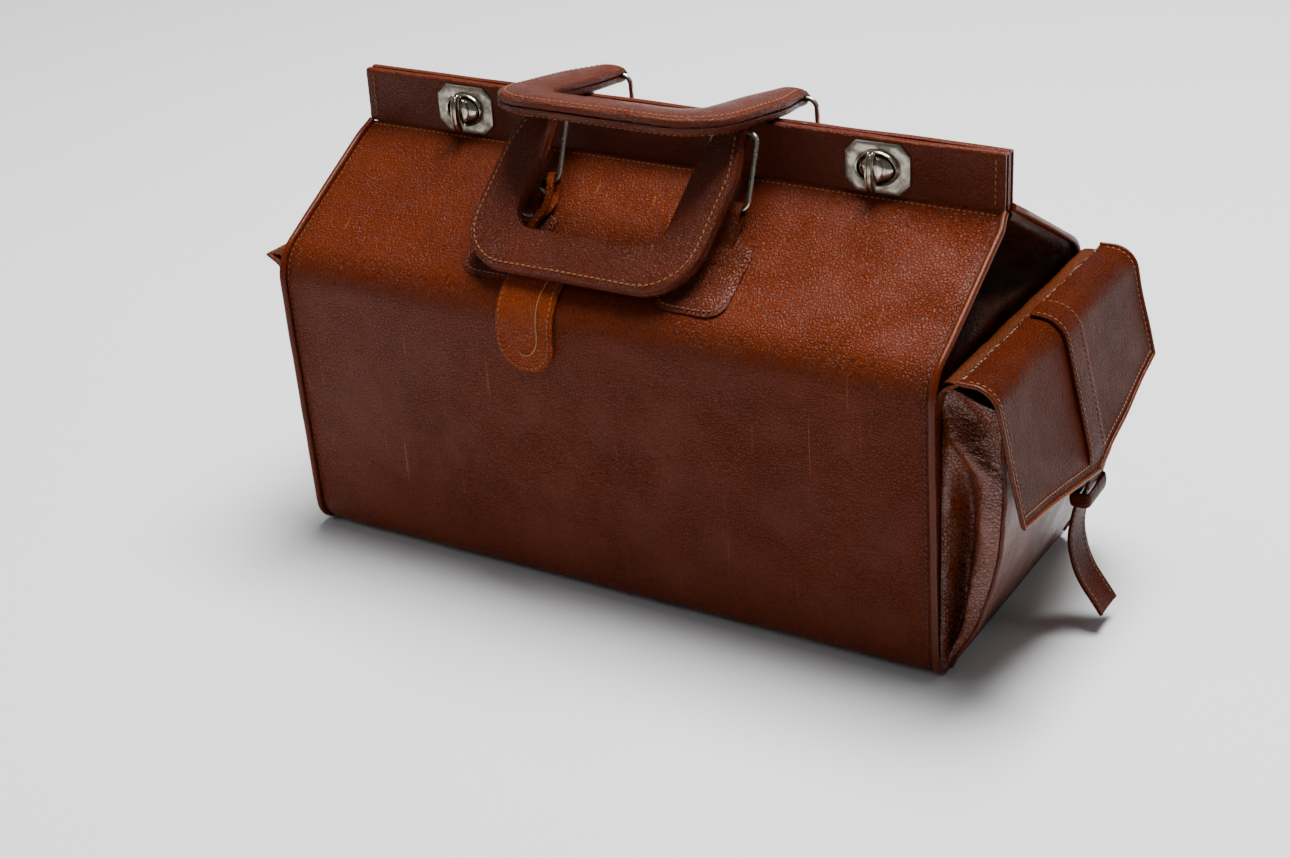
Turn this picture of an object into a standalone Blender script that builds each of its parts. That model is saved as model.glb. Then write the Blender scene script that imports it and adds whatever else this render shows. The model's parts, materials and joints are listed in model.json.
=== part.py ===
"""A leather doctor bag: a soft body with two stiffened lips that meet along the top, two turn locks,
a pair of handles on wire rings, a hanging key tag and a flapped pocket on one end.

Metres. X runs along the bag, with the pocket at +X. -Y is the front. Z is up from the surface it stands on.
Every piece is one object. Pieces that move have their origin on their joint's axis.
"""

import math

import bmesh
import bpy
from mathutils import Matrix, Vector

# Body
HALF_LENGTH = 0.2105
BASE_HALF_DEPTH = 0.098
SHOULDER_HALF_DEPTH = 0.1055
SHOULDER_HEIGHT = 0.1852
BASE_RADIUS = 0.018
SHOULDER_RADIUS = 0.026
BASE_SEAM = 0.070
LEATHER = 0.0025
LINING = 0.0012
GAP = 0.0003
BOARD = 0.003

# Lips, which meet at Y = 0
LIP_HALF_LENGTH = 0.211
LIP_OUTER = 0.0055
LIP_INNER = 0.0003
LIP_BOTTOM = 0.242
LIP_TOP = 0.275
SLEEVE = 0.0012
STAY_HALF_LENGTH = 0.207

# Ends
END_INNER = 0.2108
END_THICKNESS = 0.0022
END_INSET = 0.0034
END_BASE = 0.006
END_TOP = 0.184
FLARE_START = 0.150
FLARE = 0.0095
BAND_HEIGHT = 0.013
BAND_THICKNESS = 0.0012
PIPING_RADIUS = 0.0022
PIPING_X = 0.213
PIPING_SINK = 0.0006
PIPING_BASE_SINK = 0.0025
FOLD_CLEARANCE = 0.0017

# Tuck-in gussets between the slopes
GUSSET_OUTER_X = 0.2085
GUSSET_SINK = 0.0052
GUSSET_THICKNESS = 0.0016
CREASE_Y = 0.0025
CREASE_LOW = (0.2085, 0.187)
CREASE_HIGH = (0.133, 0.235)

# Turn locks
LOCK_X = 0.137
LOCK_Z = 0.258
PLATE_WIDTH = 0.039
PLATE_HEIGHT = 0.029
PLATE_CHAMFER = 0.0065
PLATE_THICKNESS = 0.0012
BOSS_SIZE = (0.025, 0.020, 0.0022)
KNOB_SIZE = (0.0055, 0.0205, 0.0045)
STEM_RADIUS = 0.003

# Rings, chapes and handles
RING_HALF_SPACING = 0.062
RING_WIDTH = 0.028
RING_LENGTH = 0.0425
RING_CORNER = 0.0035
WIRE_RADIUS = 0.0015
BORE_RADIUS = 0.0019
CHAPE_BAR = (-0.0385, 0.2345)
RING_LEAN = {"front": math.radians(20.7), "back": math.radians(4.0)}
SIDE_SHIFT = {"front": -0.003, "back": 0.003}
CHAPE_HALF_WIDTH = 0.021
CHAPE_TOP = 0.046
CHAPE_BOTTOM = 0.101
CHAPE_THICKNESS = 0.0015
LOOP_RADIUS = 0.0035
HANDLE_HALF_WIDTH = 0.076
HANDLE_LENGTH = 0.104
HANDLE_STRAP = 0.027
HANDLE_HALF_THICKNESS = 0.0043
HANDLE_CORNER = 0.032
HANDLE_ANGLE = {"front": math.radians(-45.5), "back": math.radians(6.3)}
HANDLE_SKEW = {"front": -0.09, "back": -0.12}

# Key tag, which lies on the front slope and bends over the shoulder
TAG_X = -0.036
TAG_HALF_WIDTH = 0.0205
TAG_TOP = 0.056
TAG_LENGTH_BELOW = 0.036
TAG_LIFT = 0.0021
TAG_THICKNESS = 0.0018
TAG_FOLD_CLEARANCE = 0.0021
TAG_STRAP_X = -0.0552
SPLIT_RING_RADIUS = 0.0088
SPLIT_RING_WIRE = 0.0008
SPLIT_RING_TILT = math.radians(13)

# End pocket, at +X
POCKET_HALF_WIDTH = 0.089
POCKET_PROFILE = (
    (0.2171, 0.0065),
    (0.2195, 0.012),
    (0.2305, 0.035),
    (0.2390, 0.060),
    (0.2443, 0.092),
    (0.2462, 0.128),
    (0.2465, 0.164),
)
FLAP_HALF_WIDTH = 0.103
FLAP_START = (0.2245, 0.1872)
FLAP_CORNER = (0.2464, 0.1872)
FLAP_RADIUS = 0.015
FLAP_SPLAY = 0.231
FLAP_LOW = {"front": 0.112, "middle": 0.098, "back": 0.124}
FLAP_THICKNESS = 0.0022
FLAP_PIVOT = (0.2235, 0.1855)
STRAP_HALF_WIDTH = 0.012
STRAP_THICKNESS = 0.002
STRAP_START = 0.2285
STRAP_TAIL = (
    (0.2640, 0.0925),
    (0.2600, 0.0850),
    (0.2568, 0.0775),
    (0.2548, 0.0700),
    (0.2535, 0.0560),
    (0.2560, 0.0400),
    (0.2615, 0.0260),
    (0.2690, 0.0155),
    (0.2735, 0.0108),
)
KEEPER_CENTRE = (0.26125, 0.085)
KEEPER_SIZE = (0.0114, 0.0294, 0.009)
KEEPER_BORE = (0.0080, 0.0262)

SIDES = {"front": -1, "back": 1}
ENDS = {"left": -1, "right": 1}

COLOURS = {
    "leather": ((0.17, 0.045, 0.018), 0.42, 0.0),
    "dark_leather": ((0.09, 0.028, 0.014), 0.40, 0.0),
    "piping": ((0.13, 0.036, 0.015), 0.36, 0.0),
    "lining": ((0.30, 0.22, 0.14), 0.85, 0.0),
    "board": ((0.36, 0.27, 0.17), 0.90, 0.0),
    "steel": ((0.45, 0.44, 0.42), 0.35, 1.0),
    "nickel": ((0.62, 0.60, 0.55), 0.25, 1.0),
}


def clear_scene():
    for obj in list(bpy.data.objects):
        bpy.data.objects.remove(obj)


def material_for(node, finish):
    colour, roughness, metallic = COLOURS[finish]
    material = bpy.data.materials.new(node)
    material.use_nodes = True
    shader = material.node_tree.nodes["Principled BSDF"]
    shader.inputs["Base Color"].default_value = (*colour, 1.0)
    shader.inputs["Roughness"].default_value = roughness
    shader.inputs["Metallic"].default_value = metallic
    return material


def place(node, mesh, finish, origin=(0, 0, 0)):
    """An object of this mesh, whose points are in world space, with its origin where it is asked for."""
    mesh.transform(Matrix.Translation(-Vector(origin)))
    obj = bpy.data.objects.new(node, mesh)
    obj.location = origin
    bpy.context.scene.collection.objects.link(obj)
    if finish:
        mesh.materials.append(material_for(node, finish))
    return obj


def closed_mesh(node, shape):
    bmesh.ops.recalc_face_normals(shape, faces=shape.faces)
    if shape.calc_volume(signed=True) < 0:
        bmesh.ops.reverse_faces(shape, faces=shape.faces)
    mesh = bpy.data.meshes.new(node)
    shape.to_mesh(mesh)
    shape.free()
    return mesh


def slab(node, outer, inner, finish, origin=(0, 0, 0)):
    """A closed plate between two grids of points with the same number of rows and columns."""
    shape = bmesh.new()
    grids = [[[shape.verts.new(point) for point in row] for row in grid] for grid in (outer, inner)]
    rows = len(outer)
    columns = len(outer[0])
    for grid in grids:
        for i in range(rows - 1):
            for j in range(columns - 1):
                shape.faces.new((grid[i][j], grid[i][j + 1], grid[i + 1][j + 1], grid[i + 1][j]))
    rim = [(0, j) for j in range(columns)]
    rim += [(i, columns - 1) for i in range(1, rows)]
    rim += [(rows - 1, j) for j in range(columns - 2, -1, -1)]
    rim += [(i, 0) for i in range(rows - 2, 0, -1)]
    for (i, j), (k, m) in zip(rim, rim[1:] + rim[:1]):
        shape.faces.new((grids[0][i][j], grids[0][k][m], grids[1][k][m], grids[1][i][j]))
    return place(node, closed_mesh(node, shape), finish, origin)


def extruded(node, outline, step, finish, origin=(0, 0, 0)):
    """A flat outline pushed along one vector."""
    shape = bmesh.new()
    face = shape.faces.new([shape.verts.new(point) for point in outline])
    pushed = bmesh.ops.extrude_face_region(shape, geom=[face])["geom"]
    moved = [item for item in pushed if isinstance(item, bmesh.types.BMVert)]
    bmesh.ops.translate(shape, verts=moved, vec=Vector(step))
    return place(node, closed_mesh(node, shape), finish, origin)


def tube(node, points, radius, finish, origin=(0, 0, 0), closed=False):
    """A round cord through these points."""
    curve = bpy.data.curves.new(node, "CURVE")
    curve.dimensions = "3D"
    curve.bevel_depth = radius
    curve.bevel_resolution = 2
    curve.use_fill_caps = not closed
    spline = curve.splines.new("POLY")
    spline.points.add(len(points) - 1)
    for place_on_spline, point in zip(spline.points, points):
        place_on_spline.co = (*(Vector(point) - Vector(origin)), 1.0)
    spline.use_cyclic_u = closed
    obj = bpy.data.objects.new(node, curve)
    obj.location = origin
    bpy.context.scene.collection.objects.link(obj)
    curve.materials.append(material_for(node, finish))
    return obj


def rod_along_x(node, centre, radius, half_length, finish=None, sides=16):
    """A cylinder along X, on (x, y, z)."""
    shape = bmesh.new()
    bmesh.ops.create_cone(
        shape, cap_ends=True, segments=sides, radius1=radius, radius2=radius, depth=2 * half_length
    )
    turn = Matrix.Translation(Vector(centre)) @ Matrix.Rotation(math.pi / 2, 4, "Y")
    bmesh.ops.transform(shape, matrix=turn, verts=shape.verts)
    return place(node, closed_mesh(node, shape), finish)


def helper(obj):
    """Marks an object that only cuts or adds to another."""
    obj.hide_render = True
    obj.display_type = "WIRE"
    return obj


def combine(obj, other, operation):
    modifier = obj.modifiers.new(operation.title(), "BOOLEAN")
    modifier.operation = operation
    modifier.solver = "EXACT"
    modifier.object = helper(other)


def rounded_path(corners, radii, steps):
    """(point, outward normal) pairs along a 2-D path whose inner corners are arcs.

    The normal is the path's direction turned a quarter to the left.
    """
    corners = [Vector(corner) for corner in corners]
    headings = [(b - a).normalized() for a, b in zip(corners, corners[1:])]
    normals = [Vector((-heading.y, heading.x)) for heading in headings]
    path = [(corners[0], normals[0])]
    for i, radius in enumerate(radii, start=1):
        before, after = normals[i - 1], normals[i]
        turn = before.angle_signed(after)
        reach = radius * math.tan(abs(turn) / 2)
        centre = corners[i] - headings[i - 1] * reach - before * radius
        for step in range(steps[i - 1] + 1):
            angle = -turn * step / steps[i - 1]
            normal = Matrix.Rotation(angle, 2) @ before
            path.append((centre + normal * radius, normal))
    path.append((corners[-1], normals[-1]))
    return path


BASE_STEPS = 5
SHOULDER_STEPS = 6
PROFILE = rounded_path(
    (
        (-BASE_SEAM, 0),
        (-BASE_HALF_DEPTH, 0),
        (-SHOULDER_HALF_DEPTH, SHOULDER_HEIGHT),
        (-LIP_OUTER, LIP_BOTTOM),
    ),
    (BASE_RADIUS, SHOULDER_RADIUS),
    (BASE_STEPS, SHOULDER_STEPS),
)
HINGE_INDEX = 1 + BASE_STEPS + 1 + SHOULDER_STEPS // 2
WALL = PROFILE[: HINGE_INDEX + 1]
SLOPE = PROFILE[HINGE_INDEX:]
HINGE = PROFILE[HINGE_INDEX][0]
SLOPE_NORMAL = SLOPE[-1][1]
DOWN_SLOPE = Vector((-SLOPE_NORMAL.y, SLOPE_NORMAL.x))
LIP_SEAM = SLOPE[-1][0]
FLAP_LINE = rounded_path(
    (
        FLAP_START,
        FLAP_CORNER,
        (FLAP_CORNER[0] + FLAP_SPLAY * (FLAP_CORNER[1] - FLAP_LOW["middle"]), FLAP_LOW["middle"]),
    ),
    (FLAP_RADIUS,),
    (5,),
)


def on_slope(along, height):
    """(y, z) of a point this far down the front slope from the lip seam, and this far above it."""
    return LIP_SEAM + DOWN_SLOPE * along + SLOPE_NORMAL * height


def hinge_of(side):
    return (0, SIDES[side] * -HINGE.x, HINGE.y)


def shifted(path, depth):
    """The 2-D path moved in from the surface by depth."""
    return [point - normal * depth for point, normal in path]


def trimmed(path, length):
    """The path with this much cut from its first end."""
    points = list(path)
    while (points[1] - points[0]).length < length:
        length -= (points[1] - points[0]).length
        points = points[1:]
    points[0] = points[0] + (points[1] - points[0]).normalized() * length
    return points


def across(points, side, half_length):
    """A grid of two columns, one at each end of the bag."""
    return [[(x, -SIDES[side] * p.x, p.y) for x in (-half_length, half_length)] for p in points]


def panel(node, path, side, half_length, depth, thickness, finish, origin=(0, 0, 0)):
    outer = across(shifted(path, depth), side, half_length)
    inner = across(shifted(path, depth + thickness), side, half_length)
    return slab(node, outer, inner, finish, origin)


def body_panels():
    for side in SIDES:
        wall = WALL
        panel(f"{side}_panel", wall, side, HALF_LENGTH, 0, LEATHER, "leather")
    half = BASE_SEAM - GAP
    base = [[(x, y, 0) for x in (-HALF_LENGTH, HALF_LENGTH)] for y in (-half, half)]
    top = [[(x, y, LEATHER) for x in (-HALF_LENGTH, HALF_LENGTH)] for y in (-half, half)]
    slab("base_panel", base, top, "leather")


def base_board():
    low = LEATHER + GAP
    half = BASE_HALF_DEPTH - BASE_RADIUS
    grids = []
    for z in (low, low + BOARD):
        grids.append([[(x, y, z) for x in (-0.205, 0.205)] for y in (-half, half)])
    slab("base_board", grids[0], grids[1], "board")


def body_lining():
    """One sheet that lines the front wall, the base over its board, and the back wall."""
    rise = BOARD + GAP
    grids = []
    for depth in (LEATHER + GAP, LEATHER + GAP + LINING):
        front = shifted(WALL, depth)
        front = [Vector((p.x, max(p.y, depth + rise))) for p in front]
        grid = across(front, "front", 0.207)[::-1] + across(front, "back", 0.207)
        grids.append(grid)
    slab("body_lining", grids[0], grids[1], "lining")


def flare_at(z):
    return FLARE * max(0.0, (z - FLARE_START) / (END_TOP - FLARE_START)) ** 1.6


def end_rows(depth, inset, low, top):
    """Rows across an end panel, from its base to its flared top edge."""
    lean = (SHOULDER_HALF_DEPTH - BASE_HALF_DEPTH) / SHOULDER_HEIGHT
    rows = []
    for z in (END_BASE, 0.008, 0.011, 0.014, BASE_RADIUS, FLARE_START, 0.158, 0.165, 0.171, 0.178, top):
        if z < low:
            continue
        half = BASE_HALF_DEPTH + lean * z - inset
        if z < BASE_RADIUS:
            reach = BASE_RADIUS - inset
            half += math.sqrt(reach**2 - (BASE_RADIUS - z) ** 2) - reach
        if z > END_TOP - BAND_HEIGHT:
            half -= 0.28 * (z - END_TOP + BAND_HEIGHT)
        rows.append((END_INNER + depth + flare_at(z), half, z))
    return rows


def end_sheet(node, end, depth, thickness, inset, low, finish):
    grids = []
    for level in (depth, depth + thickness):
        rows = end_rows(level, inset, low, END_TOP)
        grids.append([[(ENDS[end] * x, -half, z), (ENDS[end] * x, half, z)] for x, half, z in rows])
    slab(node, grids[0], grids[1], finish)


def end_panels():
    for end in ENDS:
        end_sheet(f"{end}_end_panel", end, 0, END_THICKNESS, END_INSET, 0, "leather")
        depth = END_THICKNESS + GAP
        low = END_TOP - BAND_HEIGHT
        end_sheet(f"{end}_end_band", end, depth, BAND_THICKNESS, END_INSET + 0.001, low, "leather")


def pipings():
    for end, sign in ENDS.items():
        wall = shifted(WALL, PIPING_SINK)
        wall = [Vector((p.x, max(p.y, PIPING_BASE_SINK))) for p in wall]
        front = trimmed(wall[::-1], FOLD_CLEARANCE)
        around = front + [Vector((-p.x, p.y)) for p in reversed(front)]
        points = [(sign * PIPING_X, p.x, p.y) for p in around]
        tube(f"{end}_end_piping", points, PIPING_RADIUS, "piping")
        for side in SIDES:
            slope = trimmed(shifted(SLOPE, PIPING_SINK), FOLD_CLEARANCE)
            slope[-1] = slope[-1] + DOWN_SLOPE * 0.002
            points = [(sign * PIPING_X, -SIDES[side] * p.x, p.y) for p in slope]
            tube(f"{side}_{end}_piping", points, PIPING_RADIUS, "piping", hinge_of(side))


def slopes():
    for side in SIDES:
        origin = hinge_of(side)
        start = trimmed(shifted(SLOPE, 0), GAP)
        path = [(start[0], SLOPE[0][1])] + SLOPE[1:]
        panel(f"{side}_slope_panel", path, side, HALF_LENGTH, 0, LEATHER, "leather", origin)
        panel(f"{side}_slope_lining", path, side, 0.206, LEATHER + GAP, LINING, "lining", origin)


def lips():
    for side, sign in SIDES.items():
        low = LIP_BOTTOM + GAP
        inner_top = LIP_TOP - 0.0015
        chamfer = 0.0008
        outline = (
            (LIP_OUTER, low),
            (LIP_OUTER, LIP_TOP - chamfer),
            (LIP_OUTER - chamfer, LIP_TOP),
            (LIP_INNER + chamfer, LIP_TOP),
            (LIP_INNER, LIP_TOP - chamfer),
            (LIP_INNER, low),
            (LIP_INNER + SLEEVE, low),
            (LIP_INNER + SLEEVE, inner_top),
            (LIP_OUTER - SLEEVE, inner_top),
            (LIP_OUTER - SLEEVE, low),
        )
        points = [(-LIP_HALF_LENGTH, sign * y, z) for y, z in outline]
        extruded(f"{side}_lip_cover", points, (2 * LIP_HALF_LENGTH, 0, 0), "leather", hinge_of(side))
        near = LIP_INNER + SLEEVE + GAP
        far = LIP_OUTER - SLEEVE - GAP
        bar = ((near, low), (far, low), (far, inner_top - GAP), (near, inner_top - GAP))
        points = [(-STAY_HALF_LENGTH, sign * y, z) for y, z in bar]
        extruded(f"{side}_lip_stay", points, (2 * STAY_HALF_LENGTH, 0, 0), "steel", hinge_of(side))


def behind(grid, towards, thickness):
    """The same sheet of points, moved this far along its own normals, on the side that faces towards."""
    moved = []
    for i, row in enumerate(grid):
        moved_row = []
        for j, point in enumerate(row):
            down = grid[min(i + 1, len(grid) - 1)][j] - grid[max(i - 1, 0)][j]
            along = row[min(j + 1, len(row) - 1)] - row[max(j - 1, 0)]
            normal = down.cross(along).normalized()
            if normal.dot(towards) < 0:
                normal.negate()
            moved_row.append(point + normal * thickness)
        moved.append(moved_row)
    return moved


def gussets():
    """Each leaf runs from a slope's end edge in to the crease that folds into the bag."""
    rows = 6
    start, stop = on_slope(0.108, -GUSSET_SINK), on_slope(0.004, -GUSSET_SINK)
    for side, side_sign in SIDES.items():
        for end, end_sign in ENDS.items():
            grid = []
            for i in range(rows + 1):
                t = i / rows
                edge = start.lerp(stop, t)
                outer = Vector((GUSSET_OUTER_X, -side_sign * edge.x, edge.y))
                crease_x = CREASE_LOW[0] + (CREASE_HIGH[0] - CREASE_LOW[0]) * t
                crease_z = CREASE_LOW[1] + (CREASE_HIGH[1] - CREASE_LOW[1]) * t
                crease = Vector((crease_x, side_sign * CREASE_Y, crease_z))
                row = [outer.lerp(crease, u) for u in (0, 1 / 3, 2 / 3, 1)]
                grid.append([Vector((end_sign * p.x, p.y, p.z)) for p in row])
            under = behind(grid, Vector((-end_sign, 0, -1)), GUSSET_THICKNESS)
            slab(f"{side}_{end}_gusset", grid, under, "dark_leather", hinge_of(side))


def octagon(width, height, chamfer):
    w, h = width / 2, height / 2
    points = [(w, h - chamfer), (w - chamfer, h), (chamfer - w, h), (-w, h - chamfer)]
    return points + [(-x, -z) for x, z in points]


def oval(width, height, sides):
    angles = [2 * math.pi * i / sides for i in range(sides)]
    return [(width / 2 * math.cos(a), height / 2 * math.sin(a)) for a in angles]


def locks():
    """Each lock has an eight-sided plate, an oval boss and a blade that turns about Y."""
    plate_y = -LIP_OUTER - GAP
    boss_y = plate_y - PLATE_THICKNESS - GAP
    knob_y = boss_y - BOSS_SIZE[2] - GAP
    for end, sign in ENDS.items():
        centre = Vector((sign * LOCK_X, 0, LOCK_Z))
        outline = octagon(PLATE_WIDTH, PLATE_HEIGHT, PLATE_CHAMFER)
        points = [centre + Vector((x, plate_y, z)) for x, z in outline]
        step = (0, -PLATE_THICKNESS, 0)
        extruded(f"{end}_lock_plate", points, step, "nickel", hinge_of("front"))
        outline = oval(BOSS_SIZE[0], BOSS_SIZE[1], 24)
        points = [centre + Vector((x, boss_y, z)) for x, z in outline]
        boss = extruded(f"{end}_lock_boss", points, (0, -BOSS_SIZE[2], 0), "nickel", hinge_of("front"))
        soften(boss, 0.0009)
        outline = oval(KNOB_SIZE[0], KNOB_SIZE[1], 20)
        points = [centre + Vector((x, knob_y, z)) for x, z in outline]
        origin = centre + Vector((0, knob_y, 0))
        knob = extruded(f"{end}_lock_knob", points, (0, -KNOB_SIZE[2], 0), "nickel", origin)
        soften(knob, 0.0009)


def soften(obj, width):
    bevel = obj.modifiers.new("Bevel", "BEVEL")
    bevel.width = width
    bevel.segments = 1
    bevel.limit_method = "ANGLE"
    bevel.angle_limit = math.radians(50)


def chape_bar(side):
    return Vector((0, -SIDES[side] * CHAPE_BAR[0], CHAPE_BAR[1]))


def ring_direction(side):
    """The way a ring stands up from its chape: in towards the lips."""
    lean = RING_LEAN[side]
    return Vector((0, -SIDES[side] * math.sin(lean), math.cos(lean)))


def ring_centre_x(side, end):
    return SIDE_SHIFT[side] + ENDS[end] * RING_HALF_SPACING


def rings():
    for side in SIDES:
        up = ring_direction(side)
        for end in ENDS:
            base = chape_bar(side) + Vector((ring_centre_x(side, end), 0, 0))
            half = RING_WIDTH / 2
            points = []
            corners = ((half, 0), (half, RING_LENGTH), (-half, RING_LENGTH), (-half, 0))
            for quarter, (x, rise) in enumerate(corners):
                inward_x = math.copysign(RING_CORNER, -x)
                inward_z = RING_CORNER if rise == 0 else -RING_CORNER
                for step in range(4):
                    angle = math.radians(-90 + 90 * quarter + 30 * step)
                    place_x = x + inward_x + RING_CORNER * math.cos(angle)
                    place_z = rise + inward_z + RING_CORNER * math.sin(angle)
                    points.append(base + Vector((place_x, 0, 0)) + up * place_z)
            tube(f"{side}_{end}_ring", points, WIRE_RADIUS, "nickel", chape_bar(side), closed=True)


def slope_point(side, x, along, height):
    p = on_slope(along, height)
    return Vector((x, -SIDES[side] * p.x, p.y))


def chapes():
    """A leather patch sewn to the slope, with a loop round the foot of its ring."""
    for side in SIDES:
        for end in ENDS:
            centre = ring_centre_x(side, end)
            half = CHAPE_HALF_WIDTH
            corner = 0.010
            low = CHAPE_BOTTOM - corner
            outline = [(-half + 0.003, CHAPE_TOP), (-half, CHAPE_TOP + 0.012)]
            for x, first in ((corner - half, 180), (half - corner, 90)):
                for step in range(4):
                    angle = math.radians(first - 30 * step)
                    outline.append((x + corner * math.cos(angle), low + corner * math.sin(angle)))
            outline += [(half, CHAPE_TOP + 0.012), (half - 0.003, CHAPE_TOP)]
            points = [slope_point(side, centre + x, along, GAP) for x, along in outline]
            lift = slope_point(side, 0, 0, CHAPE_THICKNESS) - slope_point(side, 0, 0, 0)
            node = f"{side}_{end}_chape"
            chape = extruded(node, points, lift, "leather", hinge_of(side))
            narrow = side == "front" and end == "left"
            width = 0.0085 if narrow else 0.0115
            middle = centre - (0.003 if narrow else 0)
            bar = chape_bar(side) + Vector((middle, 0, 0))
            combine(chape, tail_block(side, node + "_tail", bar, width), "UNION")
            combine(chape, rod_along_x(node + "_roll", bar, LOOP_RADIUS, width), "UNION")
            combine(chape, rod_along_x(node + "_bore", bar, BORE_RADIUS, 0.03), "DIFFERENCE")


def tail_block(side, node, bar, half_width):
    """The doubled leather between a ring's foot and the patch."""
    foot = slope_point(side, bar.x, CHAPE_TOP + 0.006, GAP + 0.0014)
    run = foot - bar
    across_run = Vector((0, -run.z, run.y)).normalized() * 0.0014
    corners = [bar - across_run, bar + across_run, foot + across_run, foot - across_run]
    points = [corner - Vector((half_width, 0, 0)) for corner in corners]
    return extruded(node, points, (2 * half_width, 0, 0), None)


def handle_hinge(side):
    return chape_bar(side) + ring_direction(side) * RING_LENGTH


def handle_outline():
    """The outline of a handle laid flat: u across it and v out from its rings, for a positive u first."""
    end_half, end_u = 0.0095, 0.061
    outer, inner = HANDLE_HALF_WIDTH, HANDLE_HALF_WIDTH - HANDLE_STRAP
    half = [(end_u - end_half, -0.0036), (end_u + end_half, -0.0036), (end_u + end_half, 0.006), (outer, 0.027)]
    for step in range(7):
        angle = math.radians(15 * step)
        reach = HANDLE_CORNER
        u = outer - reach + reach * math.cos(angle)
        half.append((u, HANDLE_LENGTH - reach + reach * math.sin(angle)))
    outside = half + [(-u, v) for u, v in reversed(half)]
    reach = 0.014
    inside = []
    for step in range(5):
        angle = math.radians(22.5 * step)
        v = HANDLE_LENGTH - HANDLE_STRAP - reach + reach * math.sin(angle)
        inside.append((inner - reach + reach * math.cos(angle), v))
    inside = [(end_u - end_half, 0.006), (inner, 0.027)] + inside
    return outside + [(-u, v) for u, v in inside] + [(u, v) for u, v in reversed(inside)]


def handles():
    """Each handle is two shaped leather layers sewn face to face, with the ring's top bar between them."""
    for side in SIDES:
        hinge = handle_hinge(side)
        angle = HANDLE_ANGLE[side]
        out = Vector((0, -math.cos(angle), math.sin(angle)))
        up = Vector((0, math.sin(angle), math.cos(angle)))
        shift = SIDE_SHIFT[side]
        for layer, sign in (("upper", 1), ("lower", -1)):
            start = hinge + up * (sign * GAP / 2)
            points = []
            for u, v in handle_outline():
                points.append(start + Vector((shift + u + HANDLE_SKEW[side] * v, 0, 0)) + out * v)
            step = up * (sign * (HANDLE_HALF_THICKNESS - GAP / 2))
            node = f"{side}_handle_{layer}"
            body = extruded(node, points, step, "dark_leather", hinge)
            soften(body, 0.0013)
            combine(body, rod_along_x(node + "_bore", hinge, BORE_RADIUS, 0.12), "DIFFERENCE")


def tag_grid(path, half_width_at, height):
    rows = []
    for length, point, normal in path:
        half = half_width_at(length)
        p = point + normal * height
        rows.append([(TAG_X + x, p.x, p.y) for x in (-half, half)])
    return rows


def key_tag():
    """A leather tag on a thong: its upper part lies on the slope, its tip hangs on the wall."""
    upper = [(0, on_slope(TAG_TOP, 0), SLOPE_NORMAL), (1, SLOPE[-2][0], SLOPE_NORMAL)]
    for point, normal in reversed(SLOPE[1:-2]):
        upper.append((1, point, normal))
    first, first_normal = SLOPE[0]
    second = SLOPE[1][0]
    stop = first + (second - first).normalized() * TAG_FOLD_CLEARANCE
    upper.append((1, stop, first_normal))

    def full_width(length):
        return TAG_HALF_WIDTH

    outer = tag_grid(upper, full_width, TAG_LIFT + TAG_THICKNESS)
    inner = tag_grid(upper, full_width, TAG_LIFT)
    slab("key_tag_upper", outer, inner, "dark_leather", hinge_of("front"))

    wall = [point for point, normal in reversed(WALL)]
    normals = [normal for point, normal in reversed(WALL)]
    start = wall[0] + (wall[1] - wall[0]).normalized() * TAG_FOLD_CLEARANCE
    lower = [(0, start, normals[0])]
    travelled = (wall[1] - start).length
    arc = SHOULDER_STEPS // 2
    for i in range(1, arc + 1):
        lower.append((travelled, wall[i], normals[i]))
        travelled += (wall[i + 1] - wall[i]).length if i < arc else 0
    down = (wall[arc + 1] - wall[arc]).normalized()
    straight = TAG_LENGTH_BELOW - travelled
    round_start = TAG_LENGTH_BELOW - TAG_HALF_WIDTH
    for step in range(1, 9):
        length = travelled + straight * math.sin(math.radians(90 * step / 8)) * 0.995
        lower.append((length, wall[arc] + down * (length - travelled), normals[arc]))

    def half_width_at(length):
        past = max(0.0, length - round_start)
        return math.sqrt(max(TAG_HALF_WIDTH**2 - past**2, 1e-6))

    outer = tag_grid(lower, half_width_at, TAG_LIFT + TAG_THICKNESS)
    inner = tag_grid(lower, half_width_at, TAG_LIFT)
    slab("key_tag_tip", outer, inner, "dark_leather", hinge_of("front"))


def tag_thong():
    """A narrow leather loop from the ring's foot to the top of the tag, and the split ring on it."""
    bar = chape_bar("front") + Vector((TAG_STRAP_X, 0, 0))
    foot = slope_point("front", -0.050, TAG_TOP + 0.008, TAG_LIFT + TAG_THICKNESS + 0.0022)
    run = (foot - bar).normalized()
    aside = Vector((0, -run.z, run.y)).normalized()
    points = []
    for step in range(7):
        angle = math.radians(90 + 30 * step)
        points.append(bar + (aside * math.sin(angle) + run * math.cos(angle)) * 0.0042)
    points.append(foot - aside * 0.0008)
    points.append(foot + aside * 0.0008)
    tube("tag_thong", points, 0.0011, "leather", hinge_of("front"), closed=True)

    held = bar.lerp(foot, 0.5)
    down = Vector((0, DOWN_SLOPE.x, DOWN_SLOPE.y))
    away = Vector((0, SLOPE_NORMAL.x, SLOPE_NORMAL.y))
    fall = down * math.cos(SPLIT_RING_TILT) - away * math.sin(SPLIT_RING_TILT)
    centre = held - Vector((SPLIT_RING_RADIUS, 0, 0))
    points = []
    for step in range(24):
        angle = math.radians(15 * step)
        sideways = Vector((SPLIT_RING_RADIUS * math.sin(angle), 0, 0))
        points.append(centre + sideways - fall * (SPLIT_RING_RADIUS * math.cos(angle)))
    tube("split_ring", points, SPLIT_RING_WIRE, "nickel", hinge_of("front"), closed=True)


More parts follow.
